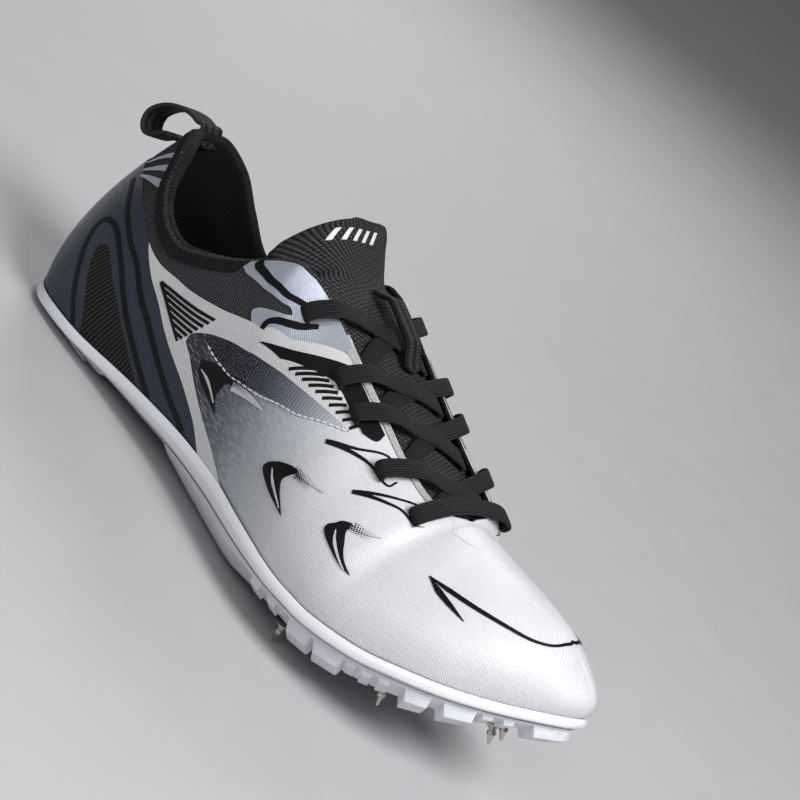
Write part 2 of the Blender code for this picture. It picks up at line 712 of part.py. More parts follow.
def make_spike_plate():
    """Forefoot plate with its lugs and teeth joined on."""
    solid = Solid()
    stations = range(first_plate_station(), STATIONS + 1)

    def edge(angle):
        return BALL_WIDTH * read(SOLE_COLUMNS, SOLE, "edge_in", angle) + 2 * GAP

    def keel(angle):
        return BALL_WIDTH * read(SOLE_COLUMNS, SOLE, "keel_in", angle)

    def line(inset, drop):
        points = []
        for side, order in ((LATERAL, stations), (MEDIAL, list(reversed(stations))[1:])):
            for i in order:
                angle = station_angle(i)
                inside = inset(angle)
                x, y = inset_point(angle, side, inside)
                points.append((x, y, plate_top(angle, x, inside) - drop(x)))
        return solid.row(points)

    top_edge = line(edge, lambda x: 0.0)
    top_keel = line(keel, lambda x: 0.0)
    low_edge = line(lambda angle: edge(angle) + 2 * GAP, lambda x: plate_thickness(x) / 3)
    low_keel = line(lambda angle: keel(angle) + 2 * GAP, plate_thickness)
    solid.strip(top_edge, top_keel)
    solid.strip(low_edge, low_keel)
    solid.strip(top_edge, low_edge)
    half = len(top_keel) // 2
    for keel_line in (top_keel, low_keel):
        for i in range(half):
            solid.face(keel_line[i], keel_line[i + 1], keel_line[-2 - i], keel_line[-1 - i])
    for k, j in ((0, -1),):
        solid.face(top_edge[k], top_keel[k], low_keel[k], low_edge[k])
        solid.face(top_edge[j], top_keel[j], low_keel[j], low_edge[j])
        solid.face(top_keel[k], top_keel[j], low_keel[j], low_keel[k])
    plate = solid.build("spike_plate", WHITE_RUBBER)
    plate_lugs = [make_lug(row) for row in LUGS]
    join_on(plate, plate_lugs)
    return plate


def make_lug(row):
    """One lug: a tapered block whose outer face follows the plate's edge."""
    station, side, length, depth = row
    solid = Solid()
    angle = station_angle(station)
    middle = rim_point(angle, side)
    normal = rim_normal(angle, side)
    tangent = np.array([-normal[1], normal[0]])
    outside = LUG_INSET
    reach = LUG_REACH * (1.0 if depth > 0.7 else 0.7)
    fall = toe_slope(middle[0])
    bend = min((BALL_WIDTH * read(SOLE_COLUMNS, SOLE, "keel_in", angle) - outside) / reach, 0.8)
    down = np.array([math.sin(fall), 0.0, -math.cos(fall)]) * depth * LUG_DEPTH
    root = []
    foot = []
    for along, inside in ((-1, 0), (1, 0), (1, bend), (1, 1), (-1, 1), (-1, bend)):
        inset = outside + reach * inside
        plan = middle - normal * inset + tangent * along * length / 2
        height = plate_top(angle, plan[0], inset) - plate_thickness(plan[0]) / 4
        root.append(np.array([plan[0], plan[1], height]))
        inset = outside + reach * (0.5 + (inside - 0.5) * LUG_TAPER)
        plan = middle - normal * inset + tangent * along * length / 2 * LUG_TAPER
        foot.append(np.array([plan[0], plan[1], height]) + down)
    rows = [solid.row(root), solid.row(foot)]
    solid.grid(rows, closed=True)
    for row in rows:
        solid.face(row[0], row[1], row[2], row[5])
        solid.face(row[5], row[2], row[3], row[4])
    return solid.build("lug", WHITE_RUBBER)


def toe_slope(x):
    """How steeply the sole's bottom climbs there, in radians."""
    step = SOLE_LENGTH / 100
    return math.atan2(under_height(x + step) - under_height(x - step), 2 * step)


def join_on(base, others):
    """Unions closed solids into the base and deletes them."""
    for other in others:
        union = base.modifiers.new("join", "BOOLEAN")
        union.operation = "UNION"
        union.solver = "EXACT"
        union.object = other
    bpy.context.view_layer.update()
    evaluated = base.evaluated_get(bpy.context.evaluated_depsgraph_get())
    joined = bpy.data.meshes.new_from_object(evaluated)
    base.modifiers.clear()
    base.data = joined
    for other in others:
        bpy.data.objects.remove(other)


def plate_bottom(x):
    """Height of the plate's flat bottom."""
    return under_height(x) - GAP - plate_thickness(x)


def make_pin(number, row):
    """Steel pin with its flanged nut, at right angles to the sole where it is screwed in."""
    along, share = row
    solid = Solid()
    x, y = along * SOLE_LENGTH, share * BALL_WIDTH
    lean = toe_slope(x) if number > FLOOR_PINS else 0.0
    axis = Vector((math.sin(lean), 0.0, -math.cos(lean)))
    length = SEAT_HEIGHT + PIN_LENGTH
    root_x = x - math.sin(lean) * length
    lowest = min(plate_bottom(root_x + way * SEAT_RADIUS) for way in (-1, 0, 1))
    root = Vector((root_x, y, (plate_bottom(root_x) if lean else lowest) - GAP))
    if number <= FLOOR_PINS:
        length = root.z - floor_height(x)
    shank = length - SEAT_HEIGHT
    turn = Vector((0.0, 0.0, -1.0)).rotation_difference(axis)
    profile = (
        (SEAT_RADIUS, 0.0),
        (SEAT_RADIUS, SEAT_HEIGHT * 0.6),
        (SEAT_RADIUS * 0.62, SEAT_HEIGHT),
        (PIN_RADIUS, SEAT_HEIGHT),
        (PIN_RADIUS * 0.72, SEAT_HEIGHT + shank * 0.45),
        (PIN_TIP_RADIUS, length),
    )
    sides = 12
    rows = []
    for radius, depth in profile:
        points = []
        for k in range(sides):
            angle = 2.0 * math.pi * k / sides
            flat = 0.93 if radius == SEAT_RADIUS and k % 2 else 1.0
            local = Vector((math.cos(angle) * radius * flat, math.sin(angle) * radius * flat, -depth))
            points.append(root + turn @ local)
        rows.append(solid.row(points))
    solid.grid(rows, closed=True)
    solid.face(*rows[0])
    solid.face(*rows[-1])
    return solid.build(f"spike_{number}", STEEL)


@functools.lru_cache(maxsize=None)
def tongue_rows():
    """Rows of the tongue's upper face with the thickness there, from under the vamp to the crown."""
    rows = []
    lift = -(UPPER_WALL + TONGUE_CLEARANCE)
    shares = (0.0, 0.14, 0.27, 0.39, 0.5, 0.61, 0.73, 0.86, 1.0)
    for station, edge, shoulder in TONGUE_UNDER:
        angle = station_angle(station)
        anchors = [upper_point(angle, LATERAL, edge, lift), upper_point(angle, LATERAL, shoulder, lift),
                   None,
                   upper_point(angle, MEDIAL, shoulder, lift), upper_point(angle, MEDIAL, edge, lift)]
        arch = TONGUE_ARCH * INSTEP_HEIGHT * ease(THROAT_END + 1, THROAT_END - 3, station)
        if station >= THROAT_END:
            anchors[2] = upper_point(angle, LATERAL, 1.0, lift)
        else:
            anchors[2] = (anchors[1] + anchors[3]) / 2 + np.array([0.0, 0.0, arch])
        for side_anchor in (1, 3):
            anchors[side_anchor][2] -= TONGUE_CLEARANCE / 2
        marks = (0.0, 0.2, 0.5, 0.8, 1.0)
        row = [np.array([smooth(marks, [anchor[axis] for anchor in anchors], share) for axis in range(3)])
               for share in shares]
        rows.append((row, TONGUE_WALL))
    base, before = rows[-1][0][TONGUE_POINTS // 2], rows[-2][0][TONGUE_POINTS // 2]
    crown = np.array([TONGUE_CROWN, base[1] + TONGUE_SWING, TONGUE_HEIGHT])
    way = crown - base
    reach = np.linalg.norm(way)
    lead = (base - before) / np.linalg.norm(base - before) * reach * 0.35
    for climb, half, bow, tilt, pad in CROWN:
        rest = 1.0 - climb
        centre = (rest ** 2 * base + 2 * rest * climb * (base + lead + way * 0.2)
                  + climb ** 2 * crown)
        heading = 2 * rest * (lead + way * 0.2) + 2 * climb * (crown - base - lead - way * 0.2)
        heading = heading / np.linalg.norm(heading)
        back = np.array([-heading[2], 0.0, heading[0]])
        row = []
        for share in shares:
            place = 2.0 * share - 1.0
            row.append(centre + np.array([0.0, place * half, place * tilt]) * HEEL_WIDTH
                       + back * bow * HEEL_WIDTH * place ** 2)
        rows.append((row, TONGUE_WALL * pad))
    return rows


def make_tongue():
    """Padded tongue, under the throat's edges and standing free above the collar."""
    solid = Solid()
    rows = tongue_rows()
    faces = np.array([row for row, _ in rows])
    thickness = np.array([wall for _, wall in rows])
    lengthwise = np.gradient(faces, axis=0)
    crosswise = np.gradient(faces, axis=1)
    normals = np.cross(lengthwise, crosswise)
    normals /= np.linalg.norm(normals, axis=2)[:, :, None]
    if normals[2, TONGUE_POINTS // 2, 2] < 0.0:
        normals = -normals
    taper = np.ones(TONGUE_POINTS)
    taper[0] = taper[-1] = 0.45
    below = faces - normals * (thickness[:, None] * taper[None, :])[:, :, None]
    top = [solid.row(row) for row in faces]
    bottom = [solid.row(row) for row in below]
    solid.grid(top)
    solid.grid(bottom)
    solid.strip([row[0] for row in top], [row[0] for row in bottom])
    solid.strip([row[-1] for row in top], [row[-1] for row in bottom])
    solid.strip(top[0], bottom[0])
    solid.strip(top[-1], bottom[-1])
    return solid.build("tongue", BLACK_KNIT)


def tongue_spot(station, place, lift):
    """Point over the tongue's upper face. place 0 is its lateral edge and 1 its medial one."""
    rows = [row for row, _ in tongue_rows()[:len(TONGUE_UNDER)]]
    stations = column(TONGUE_COLUMNS, TONGUE_UNDER, "station")
    along = min(max(stations[0] - station, 0.0), len(rows) - 1.001)
    k = int(along)
    j = min(int(place * (TONGUE_POINTS - 1)), TONGUE_POINTS - 2)
    u, v = along - k, place * (TONGUE_POINTS - 1) - j
    point = ((1 - u) * ((1 - v) * rows[k][j] + v * rows[k][j + 1])
             + u * ((1 - v) * rows[k + 1][j] + v * rows[k + 1][j + 1]))
    return point + np.array([lift * 0.35, 0.0, lift * 0.94])


def ribbon(points, width, thickness, wide):
    """Closed flat band along points, with wide the direction of its width at each point."""
    solid = Solid()
    points = [np.asarray(point, float) for point in points]
    rows = []
    for k, point in enumerate(points):
        tangent = points[min(k + 1, len(points) - 1)] - points[max(k - 1, 0)]
        tangent /= np.linalg.norm(tangent)
        broad = np.asarray(wide[k], float)
        broad = broad - tangent * np.dot(broad, tangent)
        broad /= np.linalg.norm(broad)
        up = np.cross(tangent, broad)
        corners = [point + broad * a * width / 2 + up * b * thickness / 2
                   for a, b in ((-1, -1), (1, -1), (1, 1), (-1, 1))]
        rows.append(solid.row(corners))
    solid.grid(rows, closed=True)
    solid.face(*rows[0])
    solid.face(*rows[-1])
    return solid


def strand(high_row, low_row, side, lift):
    """Middle line of a lace strand from one side's eyelet, over the tongue, to the other side.

    It ends in the other side's eyelet where both rows are the same, and under that side's edge of the
    throat where they differ.
    """
    stack = 4 * GAP + OVERLAY_WALL + LACE_THICKNESS / 2 + lift
    above = 2 * GAP + LACE_THICKNESS / 2 + lift
    if high_row == low_row:
        above += LACE_THICKNESS + LACE_RISE + GAP
    start, *shares = EYELETS[high_row]
    end, *end_shares = EYELETS[low_row]
    share = shares[SIDES.index(side)]
    end_share = end_shares[SIDES.index(-side)]

    def between(part):
        return start + (end - start) * part

    def place(part):
        return 0.5 + side * part

    anchors = [upper_point(station_angle(start), side, share, stack),
               upper_point(station_angle(between(0.08)), side, 1.0, stack),
               tongue_spot(between(0.33), place(0.13), above + LACE_THICKNESS / 2),
               tongue_spot(between(0.50), 0.5, above),
               tongue_spot(between(0.67), place(-0.13), above)]
    if high_row == low_row:
        anchors += [upper_point(station_angle(end), -side, 1.0, stack),
                    upper_point(station_angle(end), -side, end_share, stack)]
    else:
        anchors.append(tongue_spot(between(0.79), place(-0.21), above))
    steps = [0.0]
    for first, second in zip(anchors, anchors[1:]):
        steps.append(steps[-1] + float(np.linalg.norm(second - first)))
    places = np.linspace(0.0, steps[-1], 11)
    return [np.array([smooth(steps, [anchor[axis] for anchor in anchors], place) for axis in range(3)])
            for place in places]


def make_lace():
    """The bottom bar and the crossings above it, each one joined solid."""
    ahead = Vector((1.0, 0.0, -0.4))

    def lace(high_row, low_row, side, lift, name):
        line = strand(high_row, low_row, side, lift)
        return ribbon(line, LACE_WIDTH, LACE_THICKNESS, [ahead] * len(line)).build(name, BLACK_WEBBING)

    lace(0, 0, LATERAL, 0.0, "lace_bar")
    for row in range(1, len(EYELETS)):
        under = lace(row, row - 1, MEDIAL, 0.0, f"lace_cross_{row}")
        over = lace(row, row - 1, LATERAL, LACE_RISE, "strand")
        join_on(under, [over])


def make_tongue_keeper():
    """Webbing bridge on the tongue that the upper laces pass under."""
    start, end = 25.6, 22.5
    lace_stack = 2 * LACE_THICKNESS + LACE_RISE + 4 * GAP
    count = 9
    points = []
    for k in range(count):
        share = k / (count - 1)
        bridge = ease(0.0, 0.3, share) * (1.0 - ease(0.7, 1.0, share))
        points.append(tongue_spot(start + (end - start) * share, 0.53,
                                  2 * GAP + WEBBING / 2 + lace_stack * bridge))
    wide = [Vector((0.0, 1.0, 0.0))] * count
    ribbon(points, KEEPER_WIDTH, WEBBING, wide).build("tongue_keeper", BLACK_WEBBING)


def make_pull_loop():
    """Webbing loop from the collar's top edge back and down to the heel."""
    top = upper_point(0.0, LATERAL, 1.0)
    seat = upper_point(0.0, LATERAL, 0.86, GAP + WEBBING / 2)
    above = GAP * 2 + WEBBING / 2

    def behind(back, fall):
        return top + np.array([-LOOP_REACH * back, 0.0, above * (1.0 - back) - LOOP_HANG * fall])

    line = (
        top + np.array([-UPPER_WALL / 2, 0.0, above]),
        behind(0.30, -0.04),
        behind(0.62, 0.07),
        behind(0.86, 0.30),
        behind(1.00, 0.62),
        behind(0.96, 0.95),
        behind(0.78, 1.08),
        seat + np.array([-LOOP_REACH * 0.22, 0.0, -LOOP_HANG * 0.03]),
        seat,
    )
    wide = [Vector((0.0, 1.0, 0.0))] * len(line)
    ribbon(line, LOOP_WIDTH, WEBBING, wide).build("pull_loop", BLACK_WEBBING)


def main():
    for item in list(bpy.data.objects):
        bpy.data.objects.remove(item)
    make_upper()
    make_heel_counter()
    make_eyestay(LATERAL, "eyestay_lateral")
    make_eyestay(MEDIAL, "eyestay_medial")
    make_midsole()
    make_insole()
    make_heel_pad()
    make_spike_plate()
    for number, row in enumerate(PINS, start=1):
        make_pin(number, row)
    make_tongue()
    make_lace()
    make_tongue_keeper()
    make_pull_loop()


main()
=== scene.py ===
"""Looks of the track spike shoe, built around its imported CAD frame.

Lengths are in metres in the frame's own axes: +X to the toe, +Y to the inner (medial) side, +Z up.
The last (the foot form that an upper is pulled over) is worked out in its own flat position and then
stood on the heel pad and the rear pins by stand(). A place on the upper is (turn, share): turn runs
round the shoe from the heel's back, 0, along the outer side to the toe tip, HALF, and back along the
inner side to 2 * HALF, and share climbs from the crease at the sole, 0, to the top edge, 1.
"""
import math

import bpy
import numpy as np
from mathutils import Matrix, Vector
from mathutils.kdtree import KDTree


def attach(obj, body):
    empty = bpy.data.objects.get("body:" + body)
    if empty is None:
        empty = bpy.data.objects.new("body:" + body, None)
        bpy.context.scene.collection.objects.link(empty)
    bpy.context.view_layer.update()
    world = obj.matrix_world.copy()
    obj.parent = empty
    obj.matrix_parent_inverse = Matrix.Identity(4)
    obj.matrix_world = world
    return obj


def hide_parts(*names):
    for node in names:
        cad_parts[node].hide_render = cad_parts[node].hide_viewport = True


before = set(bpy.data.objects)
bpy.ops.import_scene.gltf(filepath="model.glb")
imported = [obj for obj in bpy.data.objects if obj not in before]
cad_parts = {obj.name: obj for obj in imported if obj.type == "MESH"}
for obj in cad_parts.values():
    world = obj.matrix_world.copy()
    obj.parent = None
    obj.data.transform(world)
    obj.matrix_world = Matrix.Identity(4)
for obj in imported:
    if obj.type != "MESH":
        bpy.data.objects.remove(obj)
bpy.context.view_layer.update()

# Sizes of the shoe, as in the frame
SOLE_LENGTH = 0.2765
HEEL_WIDTH = 0.062
BALL_WIDTH = 0.0915
HEEL_REST = 0.031
LAST_PITCH = math.radians(4.1)
FLOOR_PIVOT = 0.1935
CREASE_HEIGHT = 0.020
TOE_RISE = 0.0245
COLLAR_HEIGHT = 0.097
INSTEP_HEIGHT = 0.0975
VAMP_HEIGHT = 0.067
TONGUE_HEIGHT = 0.1145
TONGUE_CROWN = 0.0915
TONGUE_SWING = 0.0045
UPPER_WALL = 0.0018
TONGUE_WALL = 0.0032
TONGUE_CLEARANCE = 0.0011
TONGUE_ARCH = 0.022
INSOLE_WALL = 0.0025
CREASE_INSET = 0.0027
HEEL_INSET = 0.0016
LIP_HEIGHT = 0.0008
PAD_THICKNESS = 0.0015
PIN_LENGTH = 0.0066
PIN_RADIUS = 0.0019
PIN_TIP_RADIUS = 0.0005
SEAT_RADIUS = 0.0043
SEAT_HEIGHT = 0.0020
LACE_WIDTH = 0.0068
LACE_THICKNESS = 0.0014
LACE_RISE = 0.0011
LOOP_WIDTH = 0.012
LOOP_REACH = 0.0235
LOOP_HANG = 0.0150
WEBBING = 0.0018
KEEPER_WIDTH = 0.0090
GAP = 0.0003
HALF = 48                  # turns from the heel's back to the toe tip
THROAT_END = 32            # turn at the front end of the throat
FLOOR_PINS = 3
TINY = 1e-12
NUDGE = 1e-6               # a turn or share this near a mark counts as on it
LATERAL = -1
MEDIAL = 1

# Rim of the sole: along is a share of SOLE_LENGTH, the others are shares of the width there
OUTLINE = {
    "along": (0.0, 0.020, 0.060, 0.120, 0.250, 0.380, 0.500, 0.605, 0.700, 0.760, 0.810, 0.865, 0.925,
              0.972, 0.992, 1.0),
    "lateral": (0.0, 0.270, 0.432, 0.492, 0.500, 0.527, 0.515, 0.516, 0.525, 0.511, 0.470, 0.399, 0.256,
                0.070, -0.050, -0.153),
    "medial": (0.0, 0.262, 0.417, 0.470, 0.465, 0.430, 0.412, 0.432, 0.468, 0.484, 0.482, 0.465, 0.413,
               0.315, 0.238, 0.153),
}
# Sole: heights are shares of CREASE_HEIGHT, rises of TOE_RISE, edge_in and keel_in of BALL_WIDTH
SOLE_COLUMNS = ("along", "crease", "crease_rise", "under", "under_rise", "edge_in", "edge_down", "keel_in")
SOLE = (
    (0.000, 0.875, 0.00, 0.300, 0.00, 0.030, 0.150, 0.062),
    (0.125, 0.855, 0.00, 0.300, 0.00, 0.030, 0.150, 0.062),
    (0.185, 0.885, 0.00, 0.300, 0.00, 0.032, 0.165, 0.062),
    (0.225, 0.935, 0.00, 0.640, 0.00, 0.036, 0.200, 0.070),
    (0.290, 1.020, 0.00, 0.630, 0.00, 0.042, 0.270, 0.085),
    (0.380, 1.100, 0.00, 0.620, 0.00, 0.042, 0.320, 0.100),
    (0.480, 1.120, 0.00, 0.600, 0.00, 0.036, 0.340, 0.100),
    (0.570, 1.050, 0.00, 0.560, 0.00, 0.026, 0.280, 0.095),
    (0.660, 0.985, 0.00, 0.585, 0.00, 0.018, 0.190, 0.095),
    (0.710, 1.000, 0.00, 0.590, 0.00, 0.018, 0.175, 0.095),
    (0.760, 1.000, 0.06, 0.585, 0.06, 0.018, 0.175, 0.090),
    (0.810, 1.000, 0.16, 0.585, 0.16, 0.018, 0.175, 0.090),
    (0.860, 1.000, 0.33, 0.595, 0.33, 0.018, 0.175, 0.090),
    (0.900, 1.000, 0.47, 0.640, 0.47, 0.018, 0.175, 0.090),
    (0.942, 1.000, 0.65, 0.710, 0.65, 0.018, 0.175, 0.085),
    (0.978, 1.000, 0.84, 0.730, 0.84, 0.018, 0.175, 0.080),
    (1.000, 1.000, 1.00, 0.740, 1.00, 0.018, 0.175, 0.075),
)
# Plate's depth under the midsole, a share of CREASE_HEIGHT
PLATE_COLUMNS = ("along", "thickness")
PLATE = ((0.360, 0.050), (0.430, 0.200), (0.480, 0.255), (0.520, 0.270), (0.570, 0.255), (0.620, 0.165),
         (0.660, 0.115), (0.720, 0.110), (1.000, 0.110))
# Top edge of the upper: top is a share of SOLE_LENGTH, swing and gap of HEEL_WIDTH, tilt of INSTEP_HEIGHT,
# and height a share of the collar's, instep's or vamp's height at that place
TOP_COLUMNS = ("along", "top", "swing", "gap", "height", "tilt")
TOP = (
    (0.000, 0.058, 0.000, 0.000, 1.000, 0.000),
    (0.010, 0.067, 0.000, 0.137, 1.000, 0.000),
    (0.038, 0.103, -0.010, 0.305, 0.952, -0.015),
    (0.084, 0.137, -0.020, 0.430, 0.840, -0.020),
    (0.146, 0.180, -0.020, 0.476, 0.747, -0.020),
    (0.196, 0.215, -0.018, 0.485, 0.726, -0.018),
    (0.250, 0.259, -0.015, 0.482, 0.772, -0.015),
    (0.309, 0.305, -0.010, 0.469, 0.848, -0.010),
    (0.371, 0.359, 0.000, 0.445, 0.969, -0.002),
    (0.402, 0.382, 0.005, 0.430, 0.998, 0.002),
    (0.435, 0.403, 0.015, 0.408, 0.992, 0.008),
    (0.467, 0.434, 0.024, 0.371, 0.991, 0.015),
    (0.533, 0.504, 0.040, 0.347, 0.977, 0.024),
    (0.598, 0.579, 0.040, 0.323, 0.962, 0.026),
    (0.661, 0.658, 0.045, 0.306, 0.942, 0.026),
    (0.691, 0.698, 0.048, 0.290, 0.945, 0.024),
    (0.721, 0.726, 0.052, 0.222, 0.963, 0.015),
    (0.750, 0.735, 0.054, 0.000, 1.000, 0.000),
    (0.804, 0.789, 0.056, 0.000, 0.990, 0.000),
    (0.854, 0.844, 0.070, 0.000, 0.983, 0.000),
    (0.897, 0.889, 0.090, 0.000, 0.970, 0.000),
    (0.933, 0.922, 0.120, 0.000, 0.942, 0.000),
    (0.962, 0.943, 0.155, 0.000, 0.903, 0.000),
    (0.983, 0.955, 0.185, 0.000, 0.870, 0.000),
    (1.000, 0.962, 0.205, 0.000, 0.848, 0.000),
)
# Ribs of the upper: out and over are shares of BALL_WIDTH, rise and drop of the rib's height
RIB_COLUMNS = ("along", "out", "rise", "over", "drop")
RIBS = (
    (0.000, 0.084, 0.33, 0.137, 0.31),
    (0.038, 0.070, 0.32, 0.095, 0.32),
    (0.100, 0.052, 0.33, 0.045, 0.33),
    (0.200, 0.040, 0.33, 0.022, 0.35),
    (0.309, 0.040, 0.32, 0.055, 0.32),
    (0.402, 0.048, 0.35, 0.095, 0.31),
    (0.467, 0.052, 0.39, 0.140, 0.20),
    (0.565, 0.052, 0.43, 0.155, 0.12),
    (0.661, 0.052, 0.43, 0.185, 0.11),
    (0.721, 0.050, 0.46, 0.200, 0.08),
    (0.750, 0.049, 0.48, 0.240, 0.00),
    (0.830, 0.052, 0.50, 0.240, 0.01),
    (0.897, 0.058, 0.52, 0.190, 0.03),
    (0.962, 0.055, 0.55, 0.100, 0.12),
    (1.000, 0.044, 0.58, 0.066, 0.19),
)
HEEL_SPAN = (0.0, 0.12)
WAIST_SPAN = (0.35, 0.69)
INSTEP_SPAN = (0.20, 0.371)
VAMP_SPAN = (0.44, 0.75)
# Small steps for slopes: in station angle, in turns and in shares
RIM_STEP = 0.002
TURN_STEP = 0.12
SHARE_STEP = 0.02

# Tongue inside the throat: edge and shoulder are shares of the rib at that turn
TONGUE_UNDER = (
    (34, 0.80, 0.90), (33, 0.78, 0.89), (32, 0.76, 0.88), (31, 0.85, 0.97), (30, 0.85, 1.00),
    (29, 0.85, 1.00), (28, 0.85, 1.00), (27, 0.86, 1.00), (26, 0.86, 1.00), (25, 0.87, 1.00),
    (24, 0.88, 1.00), (23, 0.90, 1.00), (22, 0.92, 1.00),
)
# Tongue above the collar: climb to the crown, then outer and inner half widths, outer and inner bow
# backwards, outer sag and inner lift as shares of HEEL_WIDTH, then thickness in walls
CROWN = (
    (0.20, 0.400, 0.430, 0.190, 0.110, 0.040, 0.030, 1.2),
    (0.40, 0.430, 0.450, 0.220, 0.120, 0.080, 0.050, 1.5),
    (0.60, 0.440, 0.440, 0.220, 0.110, 0.130, 0.060, 1.8),
    (0.76, 0.430, 0.425, 0.200, 0.100, 0.170, 0.060, 1.9),
    (0.88, 0.400, 0.390, 0.180, 0.090, 0.190, 0.050, 1.8),
    (0.95, 0.350, 0.340, 0.160, 0.080, 0.180, 0.040, 1.6),
    (1.00, 0.250, 0.240, 0.130, 0.070, 0.120, 0.020, 1.3),
)
# Eyelet rows from the toe end up: turn, and share on the outer and inner side
EYELETS = ((30.8, 0.80, 0.86), (29.0, 0.80, 0.86), (27.0, 0.81, 0.87), (25.7, 0.82, 0.88),
           (23.0, 0.84, 0.90))
# Pins: tip along in SOLE_LENGTH and across in BALL_WIDTH
PINS = ((0.692, -0.390), (0.737, -0.010), (0.712, 0.300), (0.822, -0.175), (0.825, 0.270),
        (0.932, 0.075), (0.912, 0.255))


# The last

def ease(start, end, place):
    """0 before start, 1 after end, smooth between."""
    share = np.clip((np.asarray(place, float) - start) / (end - start), 0.0, 1.0)
    return share * share * (3.0 - 2.0 * share)


class Curve:
    """Smooth curve through given places and values, read at one or many places."""

    def __init__(self, places, values):
        self.places = np.asarray(places, float)
        self.values = np.asarray(values, float)
        steps = np.diff(self.values) / np.diff(self.places)
        self.slopes = np.gradient(self.values, self.places)
        turning = steps[:-1] * steps[1:] <= 0.0
        self.slopes[1:-1][turning] = 0.0
        self.slopes[0], self.slopes[-1] = steps[0], steps[-1]

    def __call__(self, place):
        place = np.asarray(place, float)
        k = np.clip(np.searchsorted(self.places, place) - 1, 0, len(self.places) - 2)
        width = self.places[k + 1] - self.places[k]
        t = np.clip((place - self.places[k]) / width, 0.0, 1.0)
        return ((2 * t ** 3 - 3 * t ** 2 + 1) * self.values[k]
                + (t ** 3 - 2 * t ** 2 + t) * width * self.slopes[k]
                + (3 * t ** 2 - 2 * t ** 3) * self.values[k + 1]
                + (t ** 3 - t ** 2) * width * self.slopes[k + 1])


def angle_of(along):
    return np.arccos(np.clip(1.0 - 2.0 * np.asarray(along, float), -1.0, 1.0))


def curves(columns, rows):
    """A named curve by station angle for each column of a table."""
    angles = angle_of([row[0] for row in rows])
    return {name: Curve(angles, [row[k] for row in rows]) for k, name in enumerate(columns) if k}


rim_curves = {name: Curve(angle_of(OUTLINE["along"]), OUTLINE[name]) for name in ("lateral", "medial")}
sole_curves = curves(SOLE_COLUMNS, SOLE)
plate_curve = curves(PLATE_COLUMNS, PLATE)["thickness"]
top_curves = curves(TOP_COLUMNS, TOP)
rib_curves = curves(RIB_COLUMNS, RIBS)
STAND = (Matrix.Rotation(-LAST_PITCH, 4, "Y")
         @ Matrix.Translation((-HEEL_REST, 0.0, -(FLOOR_PIVOT - HEEL_REST) * math.tan(LAST_PITCH))))
STAND_TURN = np.array(STAND.to_3x3())
STAND_MOVE = np.array(STAND.translation)


def stand(points):
    """Points of the last's own flat position, moved to where the shoe stands."""
    return np.asarray(points, float) @ STAND_TURN.T + STAND_MOVE


def floor_height(x):
    return (FLOOR_PIVOT - np.asarray(x, float)) * math.tan(LAST_PITCH)


def unwrap(turn):
    """Station angle and side of a turn."""
    turn = np.mod(np.asarray(turn, float), 2 * HALF)
    side = np.where(turn <= HALF, LATERAL, MEDIAL)
    station = np.where(turn <= HALF, turn, 2 * HALF - turn)
    return math.pi * station / HALF, side


def rim_point(angle, side):
    along = (1.0 - np.cos(angle)) / 2.0
    width = HEEL_WIDTH + (BALL_WIDTH - HEEL_WIDTH) * ease(*WAIST_SPAN, along)
    across = np.where(side < 0, rim_curves["lateral"](angle), rim_curves["medial"](angle)) * width
    return np.stack([along * SOLE_LENGTH, side * across], -1)


def rim_normal(angle, side):
    """Outward direction of the rim in plan."""
    ahead, behind = np.minimum(angle + RIM_STEP, math.pi), np.maximum(angle - RIM_STEP, 0.0)
    tangent = rim_point(ahead, side) - rim_point(behind, side)
    tangent /= np.linalg.norm(tangent, axis=-1, keepdims=True)
    normal = np.stack([-side * tangent[..., 1], side * tangent[..., 0]], -1)
    normal = np.where((angle <= 0.0)[..., None], np.array([-1.0, 0.0]), normal)
    return np.where((angle >= math.pi)[..., None], np.array([1.0, 0.0]), normal)


def inset_point(angle, side, inset):
    return rim_point(angle, side) - rim_normal(angle, side) * np.asarray(inset, float)[..., None]


def crease_inset(angle):
    along = (1.0 - np.cos(angle)) / 2.0
    return HEEL_INSET + (CREASE_INSET - HEEL_INSET) * ease(*HEEL_SPAN, along)


def crease_height(x):
    angle = angle_of(x / SOLE_LENGTH)
    return CREASE_HEIGHT * sole_curves["crease"](angle) + TOE_RISE * sole_curves["crease_rise"](angle)


def under_height(x):
    angle = angle_of(x / SOLE_LENGTH)
    height = CREASE_HEIGHT * sole_curves["under"](angle) + TOE_RISE * sole_curves["under_rise"](angle)
    return np.maximum(height, floor_height(x) + PAD_THICKNESS + GAP)


